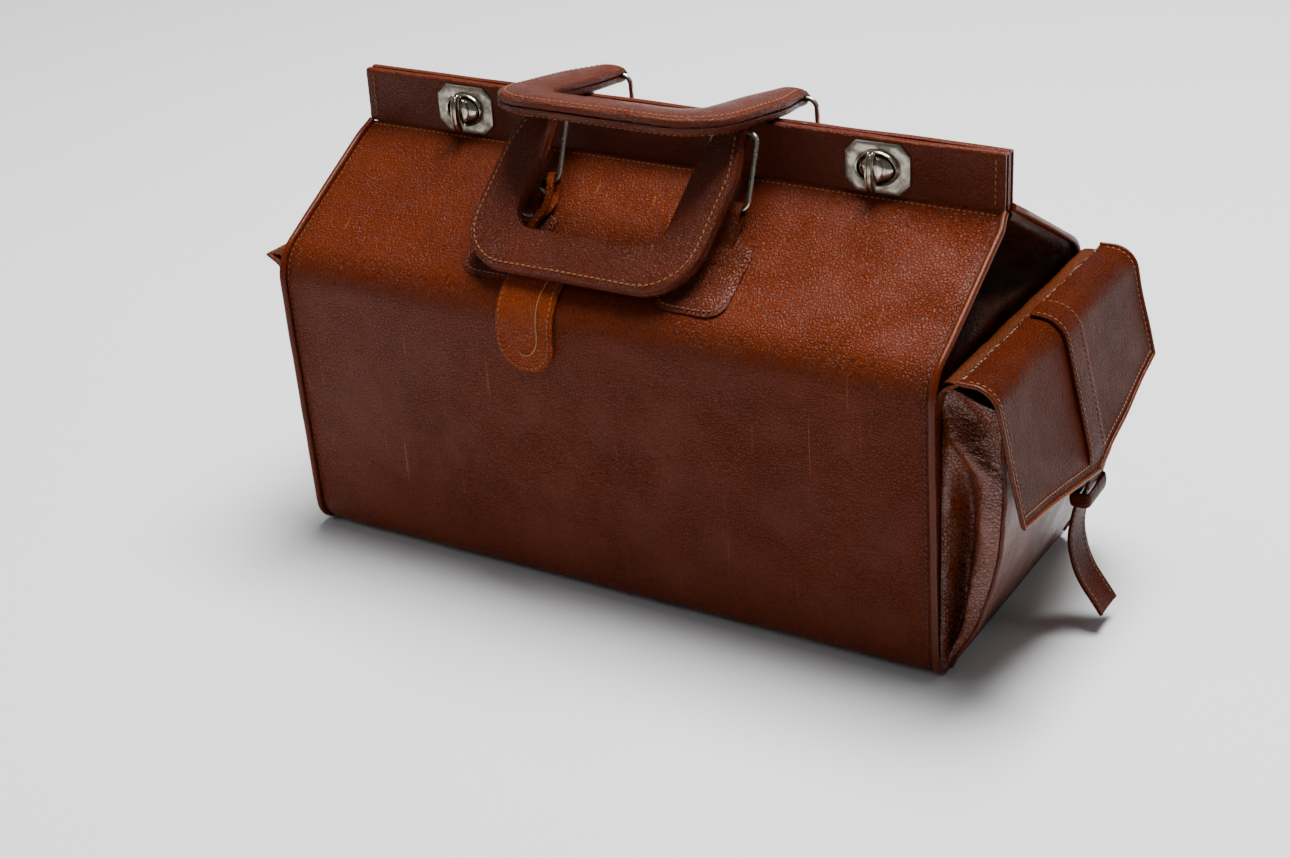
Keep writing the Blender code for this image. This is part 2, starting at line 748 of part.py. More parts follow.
def pocket():
    columns = (-POCKET_HALF_WIDTH, 0, POCKET_HALF_WIDTH)
    outer = [[(x, y, z) for y in columns] for x, z in POCKET_PROFILE]
    inner = [[(x - FLAP_THICKNESS, y, z) for y in columns] for x, z in POCKET_PROFILE]
    slab("pocket_face", outer, inner, "leather")
    near = END_INNER + END_THICKNESS + GAP
    top = POCKET_PROFILE[-1][1] - 0.002
    for side, sign in SIDES.items():
        y = sign * (POCKET_HALF_WIDTH + 0.0005)
        outline = list(POCKET_PROFILE[1:-1])
        outline += [(POCKET_PROFILE[-1][0], top), (near + flare_at(top) + 0.0006, top), (near, FLARE_START)]
        outline += [(near, POCKET_PROFILE[1][1] - 0.002)]
        points = [(x, y, z) for x, z in outline]
        extruded(f"pocket_{side}_gusset", points, (0, sign * 0.0018, 0), "leather")


def flap_low_at(y):
    corner = "front" if y < 0 else "back"
    share = abs(y) / FLAP_HALF_WIDTH
    return FLAP_LOW["middle"] + (FLAP_LOW[corner] - FLAP_LOW["middle"]) * share


def pocket_flap():
    columns = [FLAP_HALF_WIDTH * i / 4 for i in range(-4, 5)]
    pivot = (FLAP_PIVOT[0], 0, FLAP_PIVOT[1])
    grids = []
    for depth in (0, FLAP_THICKNESS):
        line = shifted(FLAP_LINE, depth)
        grid = [[(p.x, y, p.y) for y in columns] for p in line[:-1]]
        bottom = []
        for y in columns:
            low = flap_low_at(y)
            fraction = (low - line[-2].y) / (line[-1].y - line[-2].y)
            end = line[-2].lerp(line[-1], fraction)
            bottom.append((end.x, y, end.y))
        grids.append(grid + [bottom])
    slab("pocket_flap", grids[0], grids[1], "leather", pivot)

    inner = shifted(FLAP_LINE, -GAP)
    inner[0] = Vector((STRAP_START, inner[0].y))
    inner += [Vector(point) for point in STRAP_TAIL]
    outer = []
    for i, point in enumerate(inner):
        before = inner[max(i - 1, 0)]
        after = inner[min(i + 1, len(inner) - 1)]
        heading = (after - before).normalized()
        outer.append(point + Vector((-heading.y, heading.x)) * STRAP_THICKNESS)
    widths = (-STRAP_HALF_WIDTH, STRAP_HALF_WIDTH)
    outer_grid = [[(p.x, y, p.y) for y in widths] for p in outer]
    inner_grid = [[(p.x, y, p.y) for y in widths] for p in inner]
    slab("flap_strap", outer_grid, inner_grid, "leather", pivot)

    x, z = KEEPER_CENTRE
    keeper = box("strap_keeper", (x, 0, z), KEEPER_SIZE, "leather", pivot)
    bore = box("keeper_bore", (x, 0, z), (KEEPER_BORE[0], KEEPER_BORE[1], 0.03), None)
    combine(keeper, bore, "DIFFERENCE")


def box(node, centre, size, finish, origin=(0, 0, 0)):
    shape = bmesh.new()
    bmesh.ops.create_cube(shape, size=1)
    bmesh.ops.scale(shape, vec=Vector(size), verts=shape.verts)
    bmesh.ops.translate(shape, vec=Vector(centre), verts=shape.verts)
    return place(node, closed_mesh(node, shape), finish, origin)


def main():
    clear_scene()
    body_panels()
    base_board()
    body_lining()
    end_panels()
    pipings()
    slopes()
    lips()
    gussets()
    locks()
    rings()
    chapes()
    handles()
    key_tag()
    tag_thong()
    pocket()
    pocket_flap()


main()
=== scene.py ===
"""Doctor bag: builds the leather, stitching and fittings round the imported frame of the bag.

Metres. X runs along the bag towards the end pocket, -Y is the front, Z is up from the floor.
"""

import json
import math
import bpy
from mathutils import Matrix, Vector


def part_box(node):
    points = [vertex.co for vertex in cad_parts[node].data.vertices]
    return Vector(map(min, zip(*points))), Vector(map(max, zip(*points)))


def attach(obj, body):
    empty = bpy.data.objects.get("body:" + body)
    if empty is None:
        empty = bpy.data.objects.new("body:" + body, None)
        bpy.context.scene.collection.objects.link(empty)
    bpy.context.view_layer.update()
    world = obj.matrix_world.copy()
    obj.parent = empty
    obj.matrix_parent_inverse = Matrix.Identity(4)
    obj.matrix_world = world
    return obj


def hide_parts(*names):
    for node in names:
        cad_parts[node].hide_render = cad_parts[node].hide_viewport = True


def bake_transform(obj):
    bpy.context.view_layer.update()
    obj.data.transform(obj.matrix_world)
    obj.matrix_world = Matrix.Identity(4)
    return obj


bl_info = {
    "name": "Doctor Bag",
    "version": (1, 0, 0),
    "blender": (4, 5, 0),
    "location": "View3D > Sidebar > Bag",
    "description": "Builds a doctor bag's leather, stitching and metal fittings",
    "category": "Add Mesh",
}

import bpy
from bpy.props import FloatProperty, FloatVectorProperty, PointerProperty
from mathutils import Matrix, Vector, noise

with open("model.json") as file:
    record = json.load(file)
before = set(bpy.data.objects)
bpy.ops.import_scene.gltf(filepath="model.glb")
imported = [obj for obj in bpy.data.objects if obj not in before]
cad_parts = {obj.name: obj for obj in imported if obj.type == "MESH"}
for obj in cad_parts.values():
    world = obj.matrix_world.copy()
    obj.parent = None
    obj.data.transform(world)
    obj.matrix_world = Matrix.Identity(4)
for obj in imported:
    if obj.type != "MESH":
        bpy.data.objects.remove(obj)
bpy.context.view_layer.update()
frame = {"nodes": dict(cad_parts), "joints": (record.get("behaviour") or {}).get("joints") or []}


JOINTS = {joint["name"]: joint for joint in frame["joints"]}
SIDES = {"front": -1, "back": 1}
ENDS = {"left": -1, "right": 1}


# ---------------------------------------------------------------- routes


class Route:
    """A 2-D line with rounded corners, read by its length. Its normals point to the left of its way."""

    def __init__(self, corners, radii=(), fineness=10):
        corners = [Vector(corner) for corner in corners]
        self.points = [corners[0]]
        self.normals = []
        headings = [(b - a).normalized() for a, b in zip(corners, corners[1:])]
        lefts = [Vector((-h.y, h.x)) for h in headings]
        self.normals.append(lefts[0])
        for i, radius in enumerate(radii, start=1):
            before, after = lefts[i - 1], lefts[i]
            turn = before.angle_signed(after)
            reach = abs(radius) * math.tan(abs(turn) / 2)
            start = corners[i] - headings[i - 1] * reach
            side = 1 if turn > 0 else -1
            centre = start - before * radius * side
            for step in range(fineness + 1):
                normal = Matrix.Rotation(-turn * step / fineness, 2) @ before
                self.points.append(centre + normal * radius * side)
                self.normals.append(normal)
        self.points.append(corners[-1])
        self.normals.append(lefts[-1])
        self.marks = [0.0]
        for a, b in zip(self.points, self.points[1:]):
            self.marks.append(self.marks[-1] + (b - a).length)
        self.length = self.marks[-1]

    def at(self, length):
        """(point, normal) this far along. Past an end it goes straight on."""
        i = 1
        while i < len(self.marks) - 1 and self.marks[i] < length:
            i += 1
        span = max(self.marks[i] - self.marks[i - 1], 1e-9)
        share = (length - self.marks[i - 1]) / span
        point = self.points[i - 1].lerp(self.points[i], share)
        inside = min(max(share, 0), 1)
        normal = self.normals[i - 1].lerp(self.normals[i], inside).normalized()
        return point, normal


def ease(value):
    value = min(max(value, 0.0), 1.0)
    return value * value * (3 - 2 * value)


def even(count, make):
    """What make gives at count + 1 even shares from 0 to 1."""
    return [make(step / count) for step in range(count + 1)]


def ripple(x, y, z, size, seed=0.0):
    """A smooth, fixed unevenness from -1 to 1, with waves about this size."""
    return noise.noise(Vector((x / size + seed, y / size - seed, z / size + 2.7 * seed)))


# ---------------------------------------------------------------- mesh tools


def clear_selection():
    if bpy.context.mode != "OBJECT":
        bpy.ops.object.mode_set(mode="OBJECT")
    bpy.ops.object.select_all(action="DESELECT")


def choose(piece):
    clear_selection()
    piece.select_set(True)
    bpy.context.view_layer.objects.active = piece


def apply_modifier(piece, kind, **settings):
    """Adds a modifier with these settings and applies it."""
    choose(piece)
    modifier = piece.modifiers.new(kind.title(), kind)
    for name, value in settings.items():
        setattr(modifier, name, value)
    bpy.ops.object.modifier_apply(modifier=modifier.name)


def settle(piece):
    """Leaves the piece's place in its mesh, with its object at the origin."""
    choose(piece)
    bpy.ops.object.transform_apply(location=True, rotation=True, scale=True)
    return piece


def smooth(piece, degrees=40):
    choose(piece)
    bpy.ops.object.shade_smooth_by_angle(angle=math.radians(degrees))


def make_solid_normals(piece):
    choose(piece)
    bpy.ops.object.mode_set(mode="EDIT")
    bpy.ops.mesh.select_all(action="SELECT")
    bpy.ops.mesh.normals_make_consistent(inside=False)
    bpy.ops.object.mode_set(mode="OBJECT")


def leather_sheet(name, cells, surface, outside, thickness, rounding=0.0, rim=0):
    """A sheet of leather. surface(u, v), with u and v from 0 to 1, gives a point of its outer face.

    outside is a direction that the middle of the outer face looks towards. rim is the material of
    the cut edges, counted on from the outer face's.
    """
    clear_selection()
    bpy.ops.mesh.primitive_grid_add(x_subdivisions=cells[0], y_subdivisions=cells[1], size=2)
    piece = bpy.context.active_object
    piece.name = name
    piece.data.name = name
    for vertex in piece.data.vertices:
        vertex.co = surface((vertex.co.x + 1) / 2, (vertex.co.y + 1) / 2)
    piece.data.update()
    centre = surface(0.5, 0.5)
    middle = min(piece.data.polygons, key=lambda face: (face.center - centre).length)
    if middle.normal.dot(Vector(outside)) < 0:
        bpy.ops.object.mode_set(mode="EDIT")
        bpy.ops.mesh.select_all(action="SELECT")
        bpy.ops.mesh.flip_normals()
        bpy.ops.object.mode_set(mode="OBJECT")
    apply_modifier(
        piece, "SOLIDIFY", thickness=thickness, offset=-1, use_even_offset=False,
        use_quality_normals=True, material_offset_rim=rim,
    )
    if rounding:
        apply_modifier(
            piece, "BEVEL", width=rounding, segments=2, limit_method="ANGLE",
            angle_limit=math.radians(60), harden_normals=False,
        )
    smooth(piece, 50)
    return piece


def cord_tube(name, points, radius, closed=False, sides=3):
    """A round tube through these points, as a mesh."""
    clear_selection()
    bpy.ops.curve.primitive_nurbs_path_add()
    piece = bpy.context.active_object
    piece.name = name
    curve = piece.data
    curve.splines.clear()
    spline = curve.splines.new("POLY")
    spline.points.add(len(points) - 1)
    for knot, point in zip(spline.points, points):
        knot.co = (*point, 1.0)
    spline.use_cyclic_u = closed
    curve.dimensions = "3D"
    curve.bevel_depth = radius
    curve.bevel_resolution = sides
    curve.use_fill_caps = not closed
    bpy.ops.object.convert(target="MESH")
    piece = settle(bpy.context.active_object)
    apply_modifier(piece, "WELD", merge_threshold=0.00001)
    smooth(piece, 60)
    return piece


def solid_from(name, vertices, faces):
    mesh = bpy.data.meshes.new(name)
    mesh.from_pydata(vertices, [], faces)
    mesh.update()
    piece = bpy.data.objects.new(name, mesh)
    bpy.context.scene.collection.objects.link(piece)
    return piece


def swept(name, rings):
    """A solid through rings of points, each ring with the same number of them."""
    count = len(rings[0])
    vertices = [point for ring in rings for point in ring]
    faces = []
    for i in range(len(rings) - 1):
        for j in range(count):
            k = (j + 1) % count
            faces.append((i * count + j, i * count + k, (i + 1) * count + k, (i + 1) * count + j))
    faces.append(tuple(range(count))[::-1])
    faces.append(tuple(range((len(rings) - 1) * count, len(rings) * count)))
    piece = solid_from(name, vertices, faces)
    make_solid_normals(piece)
    smooth(piece, 40)
    return piece


# A stitch's rings along its length: where each lies, how thick it is and how high it stands.
STITCH_RINGS = ((-0.5, 0.35, -0.9), (-0.3, 1.0, 0.1), (0.3, 1.0, 0.1), (0.5, 0.35, -0.9))
STITCH_SIDES = 6


def stitch_form(length, radius):
    """One stitch: a short thread, flat along the leather, that dips in at both ends."""
    rings = []
    for share, size, lift in STITCH_RINGS:
        ring = []
        for corner in range(STITCH_SIDES):
            angle = 2 * math.pi * corner / STITCH_SIDES
            across = math.cos(angle) * radius * size * 1.15
            up = math.sin(angle) * radius * size + lift * radius
            ring.append(Vector((share * length, across, up)))
        rings.append(ring)
    return rings


def stitching(name, rows, pitch=0.0034, length=0.0025, radius=0.00034, slant=0.12):
    """Rows of stitches. Each row is a list of (point, outward normal) along the seam."""
    form = stitch_form(length, radius)
    vertices, faces = [], []
    for row in rows:
        marks = [0.0]
        for (a, _), (b, _) in zip(row, row[1:]):
            marks.append(marks[-1] + (b - a).length)
        count = max(int(marks[-1] / pitch), 1)
        i = 1
        for number in range(count):
            target = (number + 0.5) * marks[-1] / count
            while i < len(marks) - 1 and marks[i] < target:
                i += 1
            share = (target - marks[i - 1]) / max(marks[i] - marks[i - 1], 1e-9)
            point = row[i - 1][0].lerp(row[i][0], share)
            up = row[i - 1][1].lerp(row[i][1], share).normalized()
            along = (row[i][0] - row[i - 1][0]).normalized()
            along = (along - up * along.dot(up)).normalized()
            side = up.cross(along)
            turn = slant + 0.10 * ripple(point.x, point.y, point.z, 0.004, 3.0)
            sine, cosine = math.sin(turn), math.cos(turn)
            along, side = along * cosine + side * sine, side * cosine - along * sine
            first = len(vertices)
            for ring in form:
                for p in ring:
                    vertices.append(point + along * p.x + side * p.y + up * p.z)
            last = first + STITCH_SIDES * (len(form) - 1)
            for a in range(first, last, STITCH_SIDES):
                b = a + STITCH_SIDES
                for corner in range(STITCH_SIDES):
                    other = (corner + 1) % STITCH_SIDES
                    faces.append((a + corner, a + other, b + other, b + corner))
            faces.append(tuple(first + k for k in range(STITCH_SIDES))[::-1])
            faces.append(tuple(last + k for k in range(STITCH_SIDES)))
    piece = solid_from(name, vertices, faces)
    make_solid_normals(piece)
    smooth(piece, 80)
    return piece


def finish_piece(piece, material, body=None, replaces=(), blend=None):
    """Gives the piece its material and, without a blend, the body it moves with. A blend is read but not
    used: the piece is only fixed where it lies.
    """
    piece.data.materials.clear()
    for each in material if isinstance(material, (list, tuple)) else (material,):
        piece.data.materials.append(each)
    if replaces:
        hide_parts(*replaces)
    if blend:
        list(blend[:2])
        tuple(blend[2])
        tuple(blend[3])
        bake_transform(piece)
    else:
        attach(piece, body)


def sew(name, rows, material, slot, body=None, blend=None, **form):
    """Finished stitching along these rows."""
    finish_piece(stitching(name, rows, **form), material, body, blend=blend)


# ---------------------------------------------------------------- materials


def new_material(name):
    """A material, its node tree, its shader and the place on the piece."""
    material = bpy.data.materials.get(name) or bpy.data.materials.new(name)
    material.use_nodes = True
    tree = material.node_tree
    tree.nodes.clear()
    output = tree.nodes.new("ShaderNodeOutputMaterial")
    shader = tree.nodes.new("ShaderNodeBsdfPrincipled")
    tree.links.new(shader.outputs["BSDF"], output.inputs["Surface"])
    return material, tree, shader, node(tree, "ShaderNodeTexCoord").outputs["Object"]


def set_input(tree, socket, value):
    """Gives a socket another node's output, a number or a colour."""
    if isinstance(value, bpy.types.NodeSocket):
        tree.links.new(value, socket)
    elif isinstance(value, tuple) and socket.type == "RGBA":
        socket.default_value = (*value, 1.0)
    else:
        socket.default_value = value


def node(tree, kind, inputs=None, **settings):
    made = tree.nodes.new(kind)
    for name, value in settings.items():
        setattr(made, name, value)
    for name, value in (inputs or {}).items():
        set_input(tree, made.inputs[name], value)
    return made


def cloud(tree, place, scale, detail=3.0, roughness=0.5):
    inputs = {"Vector": place, "Scale": scale, "Detail": detail, "Roughness": roughness}
    return node(tree, "ShaderNodeTexNoise", inputs).outputs["Fac"]


def stretched(tree, place, scale):
    return node(tree, "ShaderNodeMapping", {"Vector": place, "Scale": scale}).outputs[0]


def ramp(tree, factor, *stops):
    """Greys between these stops of (position, grey)."""
    made = node(tree, "ShaderNodeValToRGB", {"Fac": factor})
    elements = made.color_ramp.elements
    while len(elements) < len(stops):
        elements.new(0.5)
    for element, (position, grey) in zip(elements, stops):
        element.position = position
        element.color = (grey, grey, grey, 1.0)
    return made.outputs["Color"]


def mix_colour(tree, factor, first, second):
    made = node(tree, "ShaderNodeMix", data_type="RGBA")
    for index, value in ((0, factor), (6, first), (7, second)):
        set_input(tree, made.inputs[index], value)
    return made.outputs[2]


def maths(tree, operation, first, second, clamp=False):
    inputs = {0: first, 1: second}
    return node(tree, "ShaderNodeMath", inputs, operation=operation, use_clamp=clamp).outputs[0]


def blend_sum(tree, first, first_share, second, second_share):
    first = maths(tree, "MULTIPLY", first, first_share)
    return maths(tree, "ADD", first, maths(tree, "MULTIPLY", second, second_share))


def add_bump(tree, shader, height, distance, strength=1.0):
    bump = node(tree, "ShaderNodeBump", {"Height": height, "Strength": strength, "Distance": distance})
    tree.links.new(bump.outputs["Normal"], shader.inputs["Normal"])


def times(share, tone):
    return tuple(share * part for part in tone)


def pebble_leather(
    name, tone, deep, grain=500.0, relief=0.00055, gloss=0.31, mottle=1.0, wrinkle=None, shine=0.17,
    scuffs=0.0,
):
    """Glossy pebbled leather.

    wrinkle is the stretch of fine creases along X, Y and Z, and their depth. scuffs is how strongly
    the fine pale scratches show.
    """
    material, tree, shader, place = new_material(name)
    wobble = node(tree, "ShaderNodeTexNoise", {"Vector": place, "Scale": 260.0, "Detail": 2.0})
    bend = {0: wobble.outputs["Color"], "Scale": 0.0016}
    bent = node(tree, "ShaderNodeVectorMath", bend, operation="SCALE").outputs[0]
    moved = node(tree, "ShaderNodeVectorMath", {0: place, 1: bent}, operation="ADD").outputs[0]
    cells, small = (
        node(
            tree, "ShaderNodeTexVoronoi", {"Vector": moved, "Scale": scale, "Randomness": randomness},
            feature="DISTANCE_TO_EDGE",
        ).outputs["Distance"]
        for scale, randomness in ((grain, 0.95), (grain * 2.1, 1.0))
    )
    pebbles = ramp(tree, cells, (0.0, 0.0), (0.10, 0.62), (0.34, 1.0))
    fine = ramp(tree, small, (0.0, 0.0), (0.2, 1.0))
    firm = ramp(tree, cloud(tree, place, 34.0), (0.36, 0.35), (0.66, 1.0))
    height = maths(tree, "MULTIPLY", blend_sum(tree, pebbles, 0.8, fine, 0.2), firm)
    if wrinkle:
        stretch, depth = wrinkle
        lines = cloud(tree, stretched(tree, moved, stretch), 1.0, 4.0, 0.6)
        sharp = ramp(tree, lines, (0.30, 1.0), (0.5, 0.0), (0.70, 1.0))
        height = maths(tree, "ADD", height, maths(tree, "MULTIPLY", sharp, depth))
    add_bump(tree, shader, height, relief)
    share = ramp(tree, cloud(tree, place, 7.0), (0.34, 0.0), (0.68, 1.0))
    colour = mix_colour(tree, maths(tree, "MULTIPLY", share, 0.55 * mottle, clamp=True), tone, deep)
    # The hollows between the pebbles are darkened towards the deep tone: painted shade in the grain.
    painted_pit_shade = maths(tree, "MULTIPLY", ramp(tree, cells, (0.0, 1.0), (0.13, 0.0)), 0.72)
    colour = mix_colour(tree, painted_pit_shade, colour, times(0.35, deep))
    if scuffs:
        hairs = cloud(tree, stretched(tree, place, (430.0, 90.0, 11.0)), 1.0, 1.0)
        hairs = ramp(tree, hairs, (0.70, 0.0), (0.76, 1.0))
        where = ramp(tree, cloud(tree, place, 21.0, 1.0), (0.50, 0.0), (0.60, 1.0))
        hairs = maths(tree, "MULTIPLY", maths(tree, "MULTIPLY", hairs, where), scuffs)
        colour = mix_colour(tree, hairs, colour, (0.34, 0.105, 0.022))
    tree.links.new(colour, shader.inputs["Base Color"])
    rough = maths(tree, "MULTIPLY", cloud(tree, place, 70.0), 0.22)
    tree.links.new(maths(tree, "ADD", rough, gloss - 0.11), shader.inputs["Roughness"])
    shader.inputs["Specular IOR Level"].default_value = shine
    return material


def raw_edge(name, tone):
    """The cut edge of vegetable-tanned leather."""
    material, tree, shader, place = new_material(name)
    colour = mix_colour(tree, cloud(tree, place, 90.0, 2.0), times(0.45, tone), tone)
    tree.links.new(colour, shader.inputs["Base Color"])
    add_bump(tree, shader, cloud(tree, place, 900.0, 4.0), 0.00025)
    shader.inputs["Roughness"].default_value = 0.62
    return material


def wave(tree, place, scale, direction, distortion=0.0):
    inputs = {"Vector": place, "Scale": scale, "Distortion": distortion}
    return node(tree, "ShaderNodeTexWave", inputs, bands_direction=direction).outputs["Fac"]


def thread(name, tone):
    material, tree, shader, place = new_material(name)
    twist = wave(tree, place, 1400.0, "DIAGONAL", 3.0)
    share = blend_sum(tree, twist, 0.3, cloud(tree, place, 160.0, 2.0), 0.7)
    tree.links.new(mix_colour(tree, share, times(0.5, tone), tone), shader.inputs["Base Color"])
    add_bump(tree, shader, twist, 0.0001, 0.6)
    shader.inputs["Roughness"].default_value = 0.7
    return material


def aged_metal(name, bright, dull, rough=0.24):
    """Nickel plate worn to a dull warm grey, with fine scratches."""
    material, tree, shader, place = new_material(name)
    stain = ramp(tree, cloud(tree, place, 190.0, 5.0), (0.42, 0.0), (0.66, 1.0))
    tree.links.new(mix_colour(tree, stain, bright, dull), shader.inputs["Base Color"])
    lines = cloud(tree, stretched(tree, place, (300.0, 300.0, 2600.0)), 1.0)
    spread = blend_sum(tree, stain, 0.22, lines, 0.12)
    tree.links.new(maths(tree, "ADD", spread, rough - 0.06), shader.inputs["Roughness"])
    add_bump(tree, shader, lines, 0.00005, 0.25)
    shader.inputs["Metallic"].default_value = 1.0
    return material


def woven_lining(name, tone):
    material, tree, shader, place = new_material(name)
    height = maths(tree, "MULTIPLY", wave(tree, place, 900.0, "X"), wave(tree, place, 900.0, "Z"))
    tree.links.new(mix_colour(tree, height, times(0.55, tone), tone), shader.inputs["Base Color"])
    add_bump(tree, shader, height, 0.0002, 0.6)
    shader.inputs["Roughness"].default_value = 0.9
    return material


def dark_thread():
    return thread("dark_thread", (0.10, 0.035, 0.015))


def seam_thread():
    return thread("seam_thread", (0.30, 0.11, 0.045))


def tan_thread():
    return thread("tan_thread", colours().thread[:])


def tan_edge():
    return raw_edge("tan_edge", (0.34, 0.15, 0.05))


def ring_nickel():
    return aged_metal("ring_nickel", (0.60, 0.57, 0.50), (0.34, 0.30, 0.22), rough=0.22)


# ---------------------------------------------------------------- sizes and colours


class BagShape(bpy.types.PropertyGroup):
    """The driving sizes of the bag's leather."""

    half_length: FloatProperty(
        name="Half Length", description="From the middle to the end of the front leather",
        default=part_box("front_panel")[1].x, unit="LENGTH",
    )
    base_seam: FloatProperty(
        name="Base Seam", description="How far the base seams lie from the middle",
        default=-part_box("front_panel")[1].y, unit="LENGTH",
    )
    base_half_depth: FloatProperty(
        name="Base Half Depth", description="Half the depth at the base", default=0.098, unit="LENGTH"
    )
    shoulder_half_depth: FloatProperty(
        name="Shoulder Half Depth", description="Half the depth where wall and slope would meet",
        default=0.1055, unit="LENGTH",
    )
    shoulder_height: FloatProperty(
        name="Shoulder Height", description="Height where wall and slope would meet",
        default=0.1852, unit="LENGTH",
    )
    base_radius: FloatProperty(
        name="Base Radius", description="Bend from base to wall", default=0.018, unit="LENGTH"
    )
    shoulder_radius: FloatProperty(
        name="Shoulder Radius", description="Bend from wall to slope", default=0.026, unit="LENGTH"
    )
    leather: FloatProperty(
        name="Leather", description="Thickness of the body leather",
        default=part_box("base_panel")[1].z, unit="LENGTH",
    )


class BagColours(bpy.types.PropertyGroup):
    """The colours of the bag's materials."""

    body: FloatVectorProperty(
        name="Body", description="Main tone of the body leather", subtype="COLOR",
        default=(0.118, 0.0148, 0.0004), min=0, max=1,
    )
    body_deep: FloatVectorProperty(
        name="Body Deep", description="Darker tone of the body leather", subtype="COLOR",
        default=(0.066, 0.0080, 0.0004), min=0, max=1,
    )
    handle: FloatVectorProperty(
        name="Handle", description="Main tone of the handles", subtype="COLOR",
        default=(0.116, 0.0142, 0.0008), min=0, max=1,
    )
    thread: FloatVectorProperty(
        name="Thread", description="Linen thread", subtype="COLOR",
        default=(0.36, 0.13, 0.028), min=0, max=1,
    )
    nickel: FloatVectorProperty(
        name="Nickel", description="Plated fittings", subtype="COLOR",
        default=(0.40, 0.37, 0.31), min=0, max=1,
    )


def shape():
    return bpy.context.scene.bag_shape


def colours():
    return bpy.context.scene.bag_colours


LIP_LOW, LIP_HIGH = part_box("front_lip_cover")
BAR = Vector(JOINTS["front_ring_swing"]["pos_m"])
HANDLE_HINGES = {side: Vector(JOINTS[f"{side}_handle_swing"]["pos_m"]) for side in SIDES}


BEND_FINENESS = 14


def body_route():
    """The bag's outline in (y, z) from the front base seam to the lip seam."""
    size = shape()
    return Route(
        (
            (-size.base_seam, 0),
            (-size.base_half_depth, 0),
            (-size.shoulder_half_depth, size.shoulder_height),
            (LIP_LOW.y, LIP_LOW.z),
        ),
        (size.base_radius, size.shoulder_radius),
        fineness=BEND_FINENESS,
    )


def shoulder_marks(route):
    """How far along the route the shoulder's bend starts and ends."""
    first = BEND_FINENESS + 2
    return route.marks[first], route.marks[first + BEND_FINENESS]


def jaw_blend(side, route):
    """The two points between which the leather would bend when a jaw opens; no step here bends it."""
    start, end = shoulder_marks(route)
    ends = []
    for length in (start - 0.004, end + 0.004):
        p = route.at(length)[0]
        ends.append((0, -SIDES[side] * p.x, p.y))
    return ("body", f"{side}_jaw", ends[0], ends[1])


def outer(side, point, normal=None, depth=0.0, x=0.0):
    """A point on that side of the bag, in from the route's point by depth."""
    if normal is not None:
        point = point - normal * depth
    return Vector((x, -SIDES[side] * point.x, point.y))


def slope_point(side, x, along, height):
    """A point of the slope, this far down from the lip seam and this far above it."""
    route = body_route()
    p, n = route.at(route.length - along)
    return outer(side, p, n, -height, x)


def slope_normal(side):
    return outer(side, body_route().normals[-1])


def slope_frame():
    """The slope's top at the lip seam, the way down it and its normal, in (y, z)."""
    route = body_route()
    seam = route.points[-1]
    down = (route.at(route.length - 0.05)[0] - seam).normalized()
    return seam, down, route.normals[-1]


def box_middle(name):
    """The middle of a part's box, and its size."""
    low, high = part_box(name)
    return (low + high) / 2, high - low


# ---------------------------------------------------------------- body


GROOVE_DEPTH, GROOVE_WIDTH = 0.0016, 0.0038
LEATHER_PAST_END = 0.0012
END_SEAM_INSET = 0.0017
LIP_SEAM_DOWN = 0.0028


def skin_depth(x, length, total):
    """How far the body leather lies in from its outline, where it sags and where it meets the beads."""
    from_end = max(shape().half_length - abs(x), 0.0)
    groove = GROOVE_DEPTH * (1 - ease(from_end / GROOVE_WIDTH))
    share = length / total
    slack = 0.0007 * ripple(x, share * 0.3, 0, 0.07, 1.0)
    slack += 0.00035 * ripple(x * 1.6, share * 0.3, 0, 0.022, 5.0)
    hold = ease(from_end / 0.03) * ease((total - length) / 0.02) * ease(length / 0.03)
    return groove + slack * hold - 0.0008 * hold


class BAG_OT_body(bpy.types.Operator):
    """Make the base, front and back leather"""

    bl_idname = "bag.body"
    bl_label = "Body Leather"

    def execute(self, context):
        size = shape()
        tone = colours()
        leather = pebble_leather("body_leather", tone.body[:], tone.body_deep[:], shine=0.10, scuffs=0.35)
        edge = raw_edge("cut_edge", (0.20, 0.085, 0.035))
        route = body_route()

        for side, sign in SIDES.items():

            def surface(u, v, side=side):
                t = 2 * u - 1
                x = (size.half_length + LEATHER_PAST_END) * (0.62 * t + 0.38 * math.sin(math.pi * t / 2))
                length = v * route.length
                p, n = route.at(length)
                return outer(side, p, n, skin_depth(x, length, route.length), x)

            def on_leather(x, length, proud, side=side):
                p, n = route.at(length)
                depth = skin_depth(x, length, route.length) - proud
                return outer(side, p, n, depth, x), outer(side, n)

            piece = leather_sheet(
                f"{side}_leather", (90, 120), surface, (0, sign, 0), size.leather - 0.0002, rim=1
            )
            finish_piece(
                piece, (leather, edge),
                replaces=(f"{side}_panel", f"{side}_slope_panel"), blend=jaw_blend(side, route),
            )
            rows = []
            for end_sign in ENDS.values():
                x = end_sign * (size.half_length - END_SEAM_INSET)
                rows.append(
                    even(120, lambda share: on_leather(x, 0.002 + (route.length - 0.004) * share, 0.0001))
                )
            sew(
                f"{side}_end_stitches", rows, dark_thread(), "leather", blend=jaw_blend(side, route),
                pitch=0.0036, length=0.0026,
            )
            half = size.half_length - 0.003
            down = route.length - LIP_SEAM_DOWN
            row = even(80, lambda share: on_leather(half * (2 * share - 1), down, 0.00005))
            sew(
                f"{side}_seam_stitches", [row], seam_thread(), "leather", f"{side}_jaw",
                length=0.0024, radius=0.0004,
            )

        def base(u, v):
            return Vector((size.half_length * (2 * u - 1), (size.base_seam - 0.0004) * (2 * v - 1), 0.0))

        piece = leather_sheet("base_leather", (60, 30), base, (0, 0, -1), size.leather, rim=1)
        finish_piece(piece, (leather, edge), "body", replaces=("base_panel",))
        return {"FINISHED"}


# ---------------------------------------------------------------- ends


